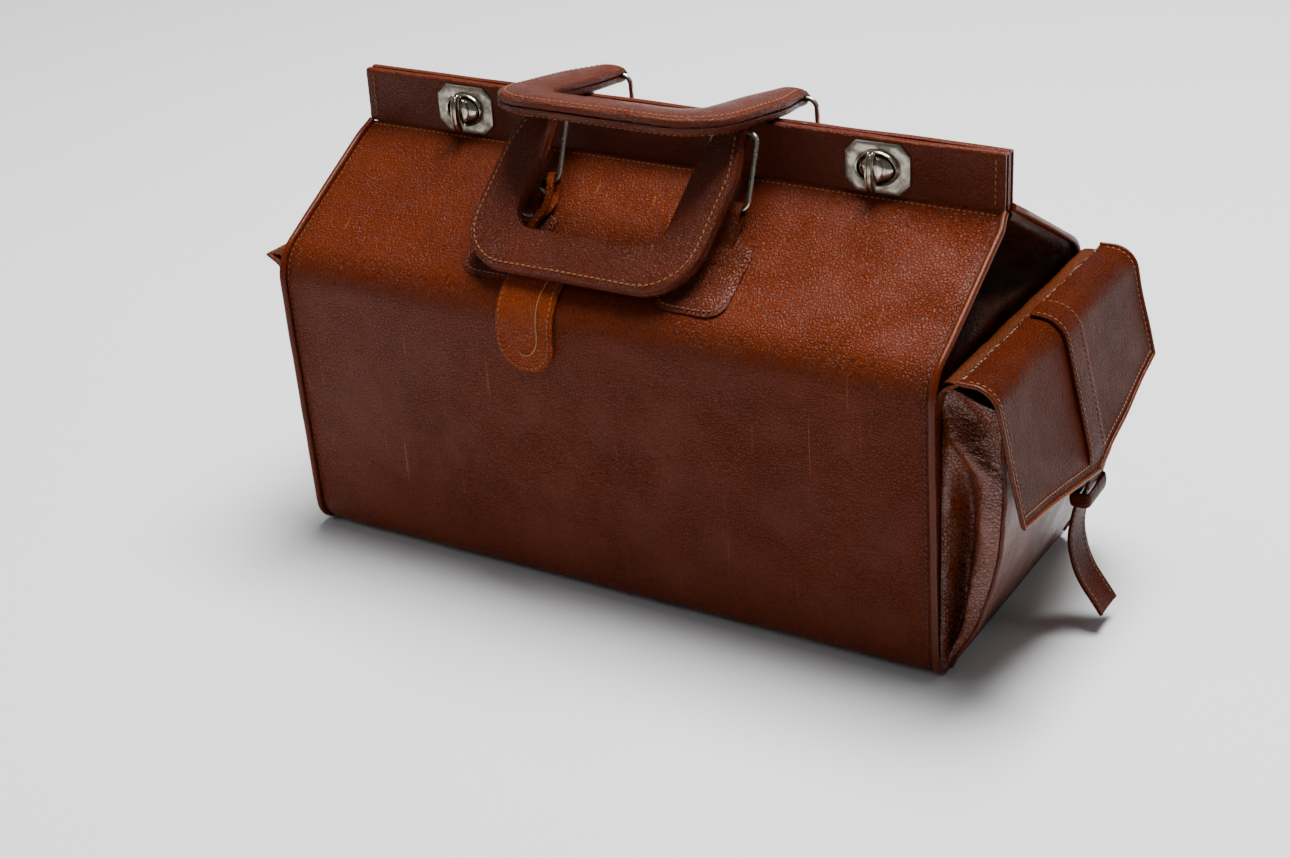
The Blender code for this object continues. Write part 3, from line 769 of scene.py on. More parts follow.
END_X = 0.2122
END_INSET = 0.0033
BAND_SEAM_HEIGHT = 0.1612
BEAD_X, BEAD_RADIUS = 0.2131, 0.0022

# The tucked gussets. The hem is the share of a leaf that hangs down behind the end leather.
HEM_SHARE, HEM_DROP = 0.14, 0.0200
MARGIN_SHARE = 0.14
GUSSET_LENGTH = 0.1095
FOLD_LOW = (0.2085, 0.1865)
FOLD_GAP, FOLD_HINGE_GAP = 0.0002, 0.0022


def end_route():
    """The end leather's outline in (x, z), which turns out into a ledge at its top."""
    return Route(
        ((END_X, 0.0055), (END_X, 0.158), (0.2168, 0.1788), (0.2262, 0.1842)), (0.03, 0.006), fineness=8
    )


def end_half_depth(z):
    size = shape()
    lean = (size.shoulder_half_depth - size.base_half_depth) / size.shoulder_height
    half = size.base_half_depth + lean * z - END_INSET
    if z < size.base_radius:
        reach = size.base_radius - END_INSET
        half += math.sqrt(max(reach**2 - (size.base_radius - z) ** 2, 0)) - reach
    return half - 0.04 * max(0.0, z - 0.172)


class BAG_OT_ends(bpy.types.Operator):
    """Make the end leather, the ledges at their tops and the tucked gussets"""

    bl_idname = "bag.ends"
    bl_label = "Ends"

    def execute(self, context):
        tone = colours()
        leather = pebble_leather(
            "end_leather", tone.body[:], tone.body_deep[:], relief=0.00045,
            wrinkle=((9.0, 30.0, 160.0), 0.5),
        )
        ledge = pebble_leather(
            "ledge_leather", (0.095, 0.0190, 0.0030), (0.045, 0.0095, 0.0020), relief=0.0004, gloss=0.45,
            shine=0.08, wrinkle=((160.0, 25.0, 90.0), 0.6),
        )
        route = end_route()
        tuck_line = Route(
            ((0.2262, 0.1850), (0.2165, 0.1846), (END_X, 0.1740), (0.2098, 0.1600)), (0.006, 0.012),
            fineness=8,
        )
        for end, sign in ENDS.items():

            def surface(u, v, sign=sign):
                p = route.at(v * route.length)[0]
                y = end_half_depth(p.y) * (2 * u - 1)
                slack = 0.0010 * ripple(y, p.y, 0, 0.05, 8.0) * ease((1 - v) / 0.2) * ease(v / 0.1)
                slack *= ease(u / 0.12) * ease((1 - u) / 0.12)
                top = 0.0007 * ripple(y, 0, 0, 0.03, 2.0) * ease((v - 0.8) / 0.2)
                return Vector((sign * (p.x + slack), y, p.y + top))

            def tuck(u, v, sign=sign):
                p = tuck_line.at(v * tuck_line.length)[0]
                y = (end_half_depth(0.18) - 0.0015 - 0.010 * v) * (2 * u - 1)
                wave = 0.0007 * ripple(y, p.y, 0, 0.02, 3.5) + 0.0005 * ripple(y, p.y, 0, 0.008, 5.5)
                return Vector((sign * p.x, y, p.y + wave * ease(v / 0.2)))

            piece = leather_sheet(f"{end}_end_leather", (70, 90), surface, (sign, 0, 0), 0.0014)
            finish_piece(
                piece, leather, "body", replaces=(f"{end}_end_panel", f"{end}_end_band")
            )
            fold = leather_sheet(f"{end}_tuck", (80, 24), tuck, (-sign, 0, 1.5), 0.0011)
            finish_piece(fold, ledge, "body")
            half = end_half_depth(BAND_SEAM_HEIGHT) - 0.002
            p = route.at(BAND_SEAM_HEIGHT - 0.0055)[0]
            x = sign * (p.x + 0.0008)
            row = even(60, lambda share: (Vector((x, half * (2 * share - 1), p.y)), Vector((sign, 0, 0))))
            sew(f"{end}_band_stitches", [row], dark_thread(), "leather", "body")
        self.gussets()
        return {"FINISHED"}

    def gussets(self):
        # The gussets use a near-black copy of the body leather, though they are the same leather: painted
        # shade of the deep recess at the ends.
        leather = pebble_leather(
            "gusset_leather_painted_shade", (0.040, 0.0085, 0.0020), (0.014, 0.0035, 0.0012), relief=0.0004, shine=0.10,
            wrinkle=((25.0, 25.0, 90.0), 0.8),
        )
        route = body_route()
        fold_x, fold_z = FOLD_LOW
        for side, side_sign in SIDES.items():
            for end, end_sign in ENDS.items():

                def surface(u, v, side_sign=side_sign, end_sign=end_sign, side=side):
                    hem = max(0.0, HEM_SHARE - v) / HEM_SHARE
                    v = max(0.0, v - HEM_SHARE) / (1 - HEM_SHARE)
                    p, n = route.at(route.length - 0.112 + GUSSET_LENGTH * v)
                    start = outer(side, p, n, 0.0022, 0.2116)
                    margin = outer(side, p, n, 0.0075, 0.2098)
                    deep = Vector((fold_x - 0.0755 * v**0.9, side_sign * FOLD_GAP, fold_z + 0.0475 * v))
                    if u < MARGIN_SHARE:
                        point = start.lerp(margin, u / MARGIN_SHARE)
                    else:
                        share = (u - MARGIN_SHARE) / (1 - MARGIN_SHARE)
                        point = margin.lerp(deep, share)
                        sag = 0.010 * math.sin(math.pi * u) * (0.35 + 0.65 * v) * math.sin(math.pi * share)
                        point.z -= sag
                        point.x -= 0.35 * sag
                    point.x -= 0.0010 * hem
                    point.z -= HEM_DROP * hem
                    pleat = 0.0016 * ripple(point.x * 0.4, abs(point.y), point.z, 0.013, 2.0)
                    point.x += pleat * ease(u / 0.3)
                    return Vector((end_sign * point.x, point.y, point.z))

                piece = leather_sheet(
                    f"{side}_{end}_gusset_leather", (34, 40), surface, (end_sign, 0, 0.6), 0.0011
                )
                low = Vector((end_sign * fold_x, side_sign * FOLD_HINGE_GAP, fold_z))
                away = Vector((end_sign * 0.0222, side_sign * 0.0199, 0.0350))
                finish_piece(
                    piece, leather, replaces=(f"{side}_{end}_gusset",),
                    blend=("body", f"{side}_jaw", low[:], (low + away)[:]),
                )


class BAG_OT_beads(bpy.types.Operator):
    """Make the leather beads along the ends"""

    bl_idname = "bag.beads"
    bl_label = "End Beads"

    def execute(self, context):
        tone = colours()
        leather = pebble_leather(
            "bead_leather", tone.body[:], tone.body_deep[:], relief=0.0001, gloss=0.30, mottle=1.2
        )
        route = body_route()
        for end, end_sign in ENDS.items():
            for side, sign in SIDES.items():
                points = [Vector((end_sign * BEAD_X, sign * y, BEAD_RADIUS)) for y in (0.0002, 0.035)]
                for length in even(90, lambda share: route.length * share):
                    p, n = route.at(length)
                    near_top = ease((length - route.length + 0.014) / 0.014)
                    point = outer(side, p, n, 0.0007 - 0.0004 * near_top, end_sign * BEAD_X)
                    point.z = max(point.z, BEAD_RADIUS)
                    point.x -= end_sign * 0.0022 * near_top
                    bulge = ripple(point.x, point.y, point.z, 0.02, 4.0 + sign + end_sign)
                    point.x += 0.0003 * bulge * end_sign
                    points.append(point)
                piece = cord_tube(f"{side}_{end}_bead", points, BEAD_RADIUS, sides=4)
                finish_piece(
                    piece, leather,
                    replaces=(f"{side}_{end}_piping", f"{end}_end_piping"), blend=jaw_blend(side, route),
                )
        return {"FINISHED"}


LIP_RIDGE_HEIGHT = 0.245


class BAG_OT_lips(bpy.types.Operator):
    """Make the two stiff lips along the top"""

    bl_idname = "bag.lips"
    bl_label = "Lips"

    def execute(self, context):
        tone = colours()
        leather = pebble_leather(
            "lip_leather", tone.body[:], tone.body_deep[:], grain=520.0, relief=0.0004, mottle=1.2
        )
        outside, inside = -LIP_LOW.y, -LIP_HIGH.y
        half = LIP_HIGH.x
        route = Route(
            (
                (-outside, LIP_LOW.z),
                (-outside, LIP_HIGH.z),
                (-inside, LIP_HIGH.z),
                (-inside, LIP_LOW.z),
            ),
            (0.0015, 0.0012),
            fineness=6,
        )
        for side, sign in SIDES.items():

            def surface(u, v, sign=sign):
                t = 2 * u - 1
                x = half * (0.75 * t + 0.25 * math.sin(math.pi * t / 2))
                p, n = route.at(v * route.length)
                swell = 0.00045 * ripple(x, 0, p.y, 0.035, 6.0 + sign) * ease((half - abs(x)) / 0.02)
                swell += 0.0004 * (1 - ease(abs(p.y - LIP_RIDGE_HEIGHT) / 0.004))
                top = 0.0006 * ripple(x, 0, 0, 0.045, 9.0 + 2 * sign) * max(0.0, n.y)
                return Vector((x, -sign * (p.x - swell * max(0.0, -n.x)), p.y + top))

            piece = leather_sheet(f"{side}_lip", (110, 60), surface, (0, 0, 1), 0.00115)
            finish_piece(piece, leather, f"{side}_jaw", replaces=(f"{side}_lip_cover",))
            rows = []
            for end_sign in ENDS.values():
                foot = Vector((end_sign * (half - 0.0055), sign * (outside + 0.0003), LIP_LOW.z + 0.003))
                rise = Vector((0, 0, LIP_HIGH.z - LIP_LOW.z - 0.006))
                rows.append(even(20, lambda share: (foot + rise * share, Vector((0, sign, 0)))))
            sew(f"{side}_lip_stitches", rows, tan_thread(), "leather", f"{side}_jaw")
            for end in ENDS:
                self.cap(side, end, leather, half)
        return {"FINISHED"}

    def cap(self, side, end, leather, half):
        sign = SIDES[side]

        def surface(u, v):
            y = 0.0018 + 0.0024 * u
            z = LIP_LOW.z + 0.0012 + (LIP_HIGH.z - LIP_LOW.z - 0.0030) * v
            bow = 0.0007 * math.sin(math.pi * u)
            return Vector((ENDS[end] * (half - 0.0016 + bow), sign * y, z))

        piece = leather_sheet(f"{side}_{end}_lip_end", (6, 20), surface, (ENDS[end], 0, 0), 0.0008)
        finish_piece(piece, leather, f"{side}_jaw")


# ---------------------------------------------------------------- fittings


def oval(width, height, count):
    angles = [2 * math.pi * i / count for i in range(count)]
    return [(width / 2 * math.cos(a), height / 2 * math.sin(a)) for a in angles]


def octagon(width, height, cut):
    w, h = width / 2, height / 2
    points = [(w, cut - h), (w, h - cut), (w - cut, h), (cut - w, h)]
    return points + [(-x, -z) for x, z in points]


def facing_ring(outline, centre, back, out):
    """An outline of (x, z) about the centre, this far out from the lip's face."""
    return [Vector((centre.x + x, back - out, centre.z + z)) for x, z in outline]


# Steps of each turned shape: how far in from its edge, and how far out from the lip.
PLATE_STEPS = ((0.0, 0.0), (0.0, 0.0009), (0.0006, 0.0013), (0.0032, 0.0013), (0.0040, 0.0011))
PLATE_CUT = 0.0065
BOSS_STEPS = (
    (0.0, 0.0012), (0.0001, 0.0026), (0.0008, 0.0034), (0.0017, 0.0030), (0.0019, 0.0013),
    (0.0027, 0.0013), (0.0030, 0.0026), (0.0044, 0.0038), (0.0068, 0.0045), (0.0088, 0.0047),
)
BOSS_WIDTH, BOSS_HEIGHT = 0.0270, 0.0205

# The knob's blade through its thickness: how far from its middle, and how much smaller there.
BLADE_STEPS = (
    (-0.0021, 0.0009), (-0.0017, 0.0), (-0.0009, 0.0), (-0.0007, 0.0016),
    (0.0007, 0.0016), (0.0009, 0.0), (0.0017, 0.0), (0.0021, 0.0009),
)
BLADE_RISE, BLADE_DEPTH, BLADE_OUT = 0.0118, 0.0046, 0.0094

# The knob's foot: how far out from the lip, and how wide there.
FOOT_STEPS = ((0.0047, 0.0100), (0.0056, 0.0098), (0.0062, 0.0084), (0.0066, 0.0050))


class BAG_OT_locks(bpy.types.Operator):
    """Make the two turn locks"""

    bl_idname = "bag.locks"
    bl_label = "Turn Locks"

    def execute(self, context):
        nickel = aged_metal("plate_nickel", colours().nickel[:], (0.20, 0.17, 0.13), rough=0.28)
        bright = aged_metal("knob_nickel", (0.58, 0.54, 0.46), (0.28, 0.22, 0.14), rough=0.14)
        # A near-black metal for the groove between rim and boss: painted shade standing in for the dark
        # hole round the knob.
        gap = aged_metal("painted_gap_shade", (0.045, 0.038, 0.030), (0.020, 0.016, 0.012), rough=0.45)
        for end in ENDS:
            centre, size = box_middle(f"{end}_lock_plate")
            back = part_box(f"{end}_lock_plate")[1].y
            rings = []
            for inset, out in PLATE_STEPS:
                outline = octagon(size.x - 2 * inset, size.z - 2 * inset, PLATE_CUT - 0.3 * inset)
                rings.append(facing_ring(outline, centre, back, out))
            plate = swept(f"{end}_plate", rings)
            finish_piece(plate, nickel, "front_jaw", replaces=(f"{end}_lock_plate",))

            rings = []
            for inset, out in BOSS_STEPS:
                outline = oval(BOSS_WIDTH - 2 * inset, BOSS_HEIGHT - 2 * inset, 48)
                rings.append(facing_ring(outline, centre, back, out))
            boss = swept(f"{end}_rim_and_boss", rings)
            finish_piece(boss, (bright, gap), "front_jaw", replaces=(f"{end}_lock_boss",))
            # The groove's faces between rim and boss take the near-black material: painted shade, not
            # tarnish.
            for face in boss.data.polygons:
                reach = Vector((face.center.x - centre.x, (face.center.z - centre.z) * 1.3)).length
                face.material_index = int(face.center.y > back - 0.0024 and 0.0095 < reach < 0.0122)

            self.knob(end, centre, back, bright)
        return {"FINISHED"}

    def knob(self, end, centre, back, metal):
        """An upright blade with a thick rounded rim, on an oval foot."""
        rings = []
        for x, shrink in BLADE_STEPS:
            outline = oval(2 * (BLADE_RISE - shrink), 2 * (BLADE_DEPTH - shrink), 26)
            middle = Vector((centre.x + x, back - BLADE_OUT, centre.z))
            rings.append([middle + Vector((0, out, rise)) for rise, out in outline])
        blade = swept(f"{end}_knob", rings)
        apply_modifier(blade, "BEVEL", width=0.0003, segments=2, limit_method="ANGLE")
        smooth(blade, 45)
        finish_piece(blade, metal, f"{end}_knob", replaces=(f"{end}_lock_knob",))
        rings = [facing_ring(oval(width, width * 1.5, 32), centre, back, out) for out, width in FOOT_STEPS]
        foot = swept(f"{end}_knob_foot", rings)
        finish_piece(foot, metal, f"{end}_knob")


WIRE_RADIUS = 0.0015
WIRE_CORNER = 0.0052


def ring_frame(side):
    """The ring's foot and the way it stands."""
    foot = Vector(JOINTS[f"{side}_ring_swing"]["pos_m"])
    up = HANDLE_HINGES[side] - foot
    return foot, up


class BAG_OT_rings(bpy.types.Operator):
    """Make the wire rings that carry the handles"""

    bl_idname = "bag.rings"
    bl_label = "Rings"

    def execute(self, context):
        metal = ring_nickel()
        for side in SIDES:
            foot, up = ring_frame(side)
            direction = up.normalized()
            for end in ENDS:
                centre, size = box_middle(f"{side}_{end}_ring")
                half = size.x / 2 - WIRE_RADIUS
                points = []
                corners = ((half, 0), (half, up.length), (-half, up.length), (-half, 0))
                for quarter, (x, rise) in enumerate(corners):
                    in_x = math.copysign(WIRE_CORNER, -x)
                    in_z = WIRE_CORNER if rise == 0 else -WIRE_CORNER
                    for step in range(9):
                        angle = math.radians(-90 + 90 * quarter + 90 * step / 8)
                        px = x + in_x + WIRE_CORNER * math.cos(angle)
                        pz = rise + in_z + WIRE_CORNER * math.sin(angle)
                        bow = 0.0004 * math.sin(math.pi * pz / up.length)
                        points.append(Vector((centre.x + px + bow, foot.y, foot.z)) + direction * pz)
                piece = cord_tube(f"{side}_{end}_wire", points, WIRE_RADIUS, closed=True, sides=4)
                finish_piece(piece, metal, f"{side}_rings", replaces=(f"{side}_{end}_ring",))
        return {"FINISHED"}


# ---------------------------------------------------------------- handles


HANDLE_ANGLES = {"front": math.radians(-45.5), "back": math.radians(6.3)}
HANDLE_SKEWS = {"front": -0.09, "back": -0.12}
HANDLE_SHIFTS = {"front": -0.003, "back": 0.003}
LAYER_THICKNESS = 0.0045
LAYER_PUFF = 0.0011
RING_HOLE = 0.0019
ROUND_OVER = 0.0021
HANDLE_SEAM_INSET = 0.0040


def handle_lines():
    """The handle's outer and inner edges for one arm and half the grip, in (u, v), read from 0 to 1."""
    outer_line = Route(
        ((0.0700, -0.0040), (0.0703, 0.006), (0.0760, 0.028), (0.0760, 0.104), (0.0, 0.104)),
        (0.02, 0.05, 0.032),
    )
    inner_line = Route(
        ((0.0520, -0.0040), (0.0517, 0.006), (0.0490, 0.028), (0.0490, 0.0770), (0.0, 0.0770)),
        (0.02, 0.05, 0.014),
    )
    return outer_line, inner_line


def handle_point(side, u, v, w):
    """A point of a handle: u across the bag, v out from the rings, w up from the handle's middle."""
    angle = HANDLE_ANGLES[side]
    out = Vector((0, -math.cos(angle), math.sin(angle)))
    up = Vector((0, math.sin(angle), math.cos(angle)))
    x = HANDLE_SHIFTS[side] + u + HANDLE_SKEWS[side] * v
    return HANDLE_HINGES[side] + Vector((x, 0, 0)) + out * v + up * w


class BAG_OT_handles(bpy.types.Operator):
    """Make the two stitched handles, each of two layers"""

    bl_idname = "bag.handles"
    bl_label = "Handles"

    def execute(self, context):
        tone = colours().handle[:]
        leather = pebble_leather(
            "handle_leather", tone, times(0.5, tone), grain=560.0, relief=0.00060, gloss=0.23, shine=0.22,
            wrinkle=((420.0, 60.0, 60.0), 0.5),
        )
        lines = handle_lines()
        for side in SIDES:
            for layer, sign in (("upper", 1), ("lower", -1)):
                rings = even(120, lambda share: self.section(side, share, sign, *lines))
                piece = swept(f"{side}_handle_{layer}_leather", rings)
                smooth(piece, 60)
                finish_piece(
                    piece, leather, f"{side}_handle", replaces=(f"{side}_handle_{layer}",)
                )
                self.edge_stitches(side, layer, sign, *lines)
        return {"FINISHED"}

    def edges(self, share, outer_line, inner_line):
        """The two edge points this share of the way from one ring round to the other."""
        half = share * 2 if share <= 0.5 else (1 - share) * 2
        mirror = 1 if share <= 0.5 else -1
        a = outer_line.at(half * outer_line.length)[0]
        b = inner_line.at(self.match(half) * inner_line.length)[0]
        return Vector((mirror * a.x, a.y)), Vector((mirror * b.x, b.y))

    def match(self, half):
        """The share of the inner edge that lies across from this share of the outer edge."""
        arm_outer, arm_inner = 0.44, 0.55
        if half < arm_outer:
            return half * arm_inner / arm_outer
        bend_outer, bend_inner = 0.72, 0.70
        if half < bend_outer:
            return arm_inner + (half - arm_outer) * (bend_inner - arm_inner) / (bend_outer - arm_outer)
        return bend_inner + (half - bend_outer) * (1 - bend_inner) / (1 - bend_outer)

    def section(self, side, share, sign, outer_line, inner_line):
        a, b = self.edges(share, outer_line, inner_line)
        v = min(a.y, b.y)
        nose = math.sqrt(max(1 - (v / 0.0042) ** 2, 0.06)) if v < 0 else 1.0
        top = LAYER_THICKNESS * nose
        hole = math.sqrt(max(RING_HOLE**2 - v**2, 0.0))
        base = min(max(0.00022, hole), top - 0.0003)
        across = (a - b).length
        half = [(0.0006, base), (0.0, base + 0.0005)]
        for step in range(1, 7):
            angle = math.radians(15 * step)
            inset = ROUND_OVER * (1 - math.cos(angle))
            half.append((inset * 0.9, top - ROUND_OVER * nose * (1 - math.sin(angle))))
        for share in (0.20, 0.35):
            half.append((share * across, top + LAYER_PUFF * math.sin(math.pi * share) * nose))
        middle = [(0.5 * across, top + LAYER_PUFF * nose)]
        ring = []
        for d, w in half + middle + [(across - d, w) for d, w in half[::-1]]:
            p = b.lerp(a, d / across)
            uneven = 0.0002 * ripple(p.x, p.y, 0, 0.02, 2.0 + sign)
            ring.append(handle_point(side, p.x, p.y, sign * (w + uneven)))
        return ring

    def edge_stitches(self, side, layer, sign, outer_line, inner_line):
        angle = HANDLE_ANGLES[side]
        up = Vector((0, math.sin(angle), math.cos(angle))) * sign
        row = []
        for i in range(6, 235):
            a, b = self.edges(i / 240, outer_line, inner_line)
            inset = HANDLE_SEAM_INSET / (a - b).length
            p = a.lerp(b, inset)
            w = LAYER_THICKNESS + LAYER_PUFF * math.sin(math.pi * inset) + 0.00005
            row.append((handle_point(side, p.x, p.y, sign * w), up))
        sew(
            f"{side}_{layer}_handle_stitches", [row], tan_thread(), "dark_leather", f"{side}_handle",
            pitch=0.0038, length=0.0029, radius=0.00036,
        )


# ---------------------------------------------------------------- chapes and tag


# The patch's outline, by its distance down the slope: a neck, straight sides and a round end.
NECK_HALF, PATCH_HALF = 0.0110, 0.0225
PATCH_TOP, PATCH_LENGTH = 0.0445, 0.0565
PATCH_SHOULDER, PATCH_BEND, PATCH_TIP = 0.0490, 0.091, 0.0102
PATCH_SHIFTS = {"left": -0.0010, "right": 0.0030}
PATCH_SEAM_INSET = 0.0026
PATCH_SEAM_TOP, PATCH_SEAM_BEND = 0.052, 0.089
PATCH_SEAM_STRAIGHT = 0.33


class BAG_OT_chapes(bpy.types.Operator):
    """Make the patches that hold the rings to the slopes"""

    bl_idname = "bag.chapes"
    bl_label = "Ring Chapes"

    def execute(self, context):
        tone = colours()
        leather = pebble_leather(
            "chape_leather", times(0.85, tone.body), tone.body_deep[:], relief=0.0006, gloss=0.28
        )
        edge = tan_edge()
        for side in SIDES:
            for end in ENDS:
                centre = box_middle(f"{side}_{end}_chape")[0].x
                self.patch(side, end, centre + PATCH_SHIFTS[end], leather)
                self.loop(side, end, centre, (leather, edge))
        return {"FINISHED"}

    def half_width(self, along):
        if along < 0.054:
            share = ease((along - PATCH_SHOULDER) / 0.005)
        elif along > PATCH_BEND:
            past = min((along - PATCH_BEND) / PATCH_TIP, 1.0)
            share = math.sqrt(max(1 - past**2, 0.0))
        else:
            share = 1.0
        return NECK_HALF + (PATCH_HALF - NECK_HALF) * share

    def patch(self, side, end, centre, leather):
        def surface(u, v):
            along = PATCH_TOP + PATCH_LENGTH * v
            x = self.half_width(along) * (2 * u - 1)
            rim = min(ease(u / 0.08), ease((1 - u) / 0.08), ease((1 - v) / 0.09), ease(v / 0.1 + 0.3))
            height = 0.0017 + 0.0009 * rim + 0.0003 * ripple(x, along, 0, 0.012, 7.0)
            return slope_point(side, centre + x, along, height)

        def on_seam(share):
            """A point of the seam, down one side, round the end and up the other side."""
            to_end = min(share, 1 - share)
            if to_end < PATCH_SEAM_STRAIGHT:
                along = PATCH_SEAM_TOP + (PATCH_SEAM_BEND - PATCH_SEAM_TOP) * to_end / PATCH_SEAM_STRAIGHT
                x = math.copysign(self.half_width(along) - PATCH_SEAM_INSET, 0.5 - share)
            else:
                turn = math.pi * (share - PATCH_SEAM_STRAIGHT) / (1 - 2 * PATCH_SEAM_STRAIGHT)
                across = math.copysign(abs(math.cos(turn)) ** 0.5, math.cos(turn))
                x = (PATCH_HALF - PATCH_SEAM_INSET) * across
                along = PATCH_SEAM_BEND + (0.0121 - PATCH_SEAM_INSET) * max(math.sin(turn), 0.0) ** 0.6
            return slope_point(side, centre + x, along, 0.0027), slope_normal(side)

        piece = leather_sheet(f"{side}_{end}_patch", (40, 44), surface, slope_normal(side), 0.0015, rim=1)
        cut = raw_edge("dark_cut_edge", (0.10, 0.035, 0.012))
        finish_piece(piece, (leather, cut), f"{side}_jaw", replaces=(f"{side}_{end}_chape",))
        sew(
            f"{side}_{end}_patch_stitches", [even(60, on_seam)], seam_thread(), "leather", f"{side}_jaw",
            pitch=0.0032, length=0.0023, radius=0.0003,
        )

    def loop(self, side, end, centre, materials):
        """The doubled strap from the patch, up and round the ring's foot."""
        narrow = side == "front" and end == "left"
        half = 0.0080 if narrow else 0.0122
        middle = centre - (0.003 if narrow else 0.0)
        seam, down, normal = slope_frame()
        foot = Vector((BAR.y, BAR.z)) - seam
        along, rise = foot.dot(down), foot.dot(normal)
        line = Route(
            (
                (0.066, 0.0028),
                (0.054, 0.0030),
                (along + 0.004, rise + 0.0040),
                (along - 0.0046, rise + 0.0036),
                (along - 0.0038, rise - 0.0046),
                (along + 0.0030, rise - 0.0030),
                (0.0540, 0.0014),
            ),
            (0.010, 0.003, 0.0036, 0.0036, 0.004),
            fineness=8,
        )

        def surface(u, v):
            p = line.at(v * line.length)[0]
            flare = 1 + 0.015 * (1 - ease(v / 0.25))
            return outer(side, seam + down * p.x + normal * p.y, x=middle + half * flare * (2 * u - 1))

        piece = leather_sheet(f"{side}_{end}_loop", (12, 60), surface, bulge(surface), 0.0011, rim=1)
        finish_piece(piece, materials, f"{side}_jaw")


def bulge(surface):
    """The way that the middle of a looped strap faces."""
    return surface(0.5, 0.5) - (surface(0.5, 0.3) + surface(0.5, 0.7)) / 2


TAG_START = 0.066
TAG_SEAM_INSET = 0.0027
SPLIT_RING_RADIUS = 0.00062


class BAG_OT_tag(bpy.types.Operator):
    """Make the key tag, its thong and the split ring"""

    bl_idname = "bag.tag"
    bl_label = "Key Tag"

    def execute(self, context):
        leather = pebble_leather(
            "tag_leather", (0.235, 0.0330, 0.0010), (0.140, 0.0180, 0.0008), relief=0.0007, gloss=0.26,
            shine=0.10, wrinkle=((60.0, 60.0, 300.0), 0.25),
        )
        edge = tan_edge()
        route = body_route()
        low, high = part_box("key_tag_upper")
        middle = (low.x + high.x) / 2
        half = (high.x - low.x) / 2 - 0.0012
        stop = self.length_to(route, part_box("key_tag_tip")[0].z)

        def swing_out(along):
            return 0.0010 * ease((along - 0.125) / 0.03)

        def half_at(along):
            left = stop - along
            narrow = half * (0.93 + 0.07 * ease((along - TAG_START) / 0.05))
            if left < half:
                return narrow * math.sqrt(max(1 - ((half - left) / half) ** 2, 0.0))
            return narrow

        def surface(u, v):
            along = TAG_START + (stop - TAG_START) * (1 - (1 - v) ** 1.25)
            p, n = route.at(route.length - along)
            t = 2 * u - 1
            x = middle + half_at(along) * t
            rim = min(ease((1 - abs(t)) / 0.14), ease((stop - along) / 0.006))
            height = 0.0027 + 0.0012 * rim + 0.0004 * ripple(x, along, 0, 0.014, 3.0)
            return outer("front", p, n, -height - swing_out(along), x)

        piece = leather_sheet("key_tag", (40, 70), surface, (0, -1, 0), 0.0016, rim=1)
        start_mark, end_mark = shoulder_marks(route)
        a = route.at(end_mark + 0.003)[0]
        b = route.at(start_mark - 0.003)[0]
        bend = ("front_jaw", "tag_tip", (0, a.x, a.y), (0, b.x, b.y))
        finish_piece(
            piece, (leather, edge), replaces=("key_tag_upper", "key_tag_tip"), blend=bend
        )

        def mark(x, along):
            p, n = route.at(route.length - along)
            return outer("front", p, n, -0.0040 - swing_out(along), middle + x), outer("front", n)

        def beside(sign, along):
            return mark(sign * (half_at(along) - TAG_SEAM_INSET), along)

        def around(share):
            angle = math.pi * share
            reach = half - TAG_SEAM_INSET
            return mark(-reach * math.cos(angle), stop - half + reach * math.sin(angle))

        row = [beside(-1, 0.069 + 0.001 * i) for i in range(51)] + even(24, around)
        row += [beside(1, stop - half - 0.001 * i) for i in range(50)]
        sew(
            "key_tag_stitches", [row], tan_thread(), "dark_leather", blend=bend,
            pitch=0.0033, length=0.0024, radius=0.0003,
        )

        def on_welt(share):
            if share < 0.72:
                along = 0.068 + (stop - 0.024 - 0.068) * share / 0.72
                x = 0.0095 + 0.0012 * math.sin(9 * share)
            else:
                turn = (share - 0.72) / 0.28 * math.radians(110)
                x = 0.0095 - 0.010 * (1 - math.cos(turn)) * 0.9
                along = stop - 0.024 + 0.013 * math.sin(turn)
            return mark(x, along)[0] - slope_normal("front") * 0.0001

        line = cord_tube("key_tag_welt", even(40, on_welt), 0.00045, sides=2)
        finish_piece(line, edge, blend=bend)
        self.thong(leather, edge)
        self.split_ring()
        return {"FINISHED"}

    def length_to(self, route, z):
        """How far down from the lip seam the route comes to this height on the wall."""
        low, high = 0.11, 0.2
        for _ in range(30):
            middle = (low + high) / 2
            if route.at(route.length - middle)[0].y > z:
                low = middle
            else:
                high = middle
        return low

    def thong(self, leather, edge):
        seam, down, normal = slope_frame()
        foot = Vector((BAR.y, BAR.z)) - seam
        along, rise = foot.dot(down), foot.dot(normal)
        loop = Route(
            (
                (0.0740, 0.0048),
                (0.0560, 0.0078),
                (along + 0.006, rise + 0.0050),
                (along - 0.0048, rise + 0.0046),
                (along - 0.0044, rise - 0.0050),
                (along + 0.006, rise - 0.0062),
                (0.0560, 0.0050),
                (0.0740, 0.0040),
            ),
            (0.01, 0.006, 0.004, 0.004, 0.006, 0.01),
            fineness=8,
        )

        def surface(u, v):
            p = loop.at(v * loop.length)[0]
            drift = 0.0045 * math.sin(math.pi * min(max((p.x - 0.032) / 0.03, 0), 1))
            x = -0.0552 + drift + 0.0022 * (2 * u - 1)
            return outer("front", seam + down * p.x + normal * p.y, x=x)

        piece = leather_sheet("thong", (8, 80), surface, bulge(surface), 0.0010, rim=1)
        finish_piece(piece, (leather, edge), "front_jaw", replaces=("tag_thong",))

    def split_ring(self):
        centre, size = box_middle("split_ring")
        radius = size.x / 2 - 0.0008
        hang = Vector((0, -size.y, -size.z)).normalized()

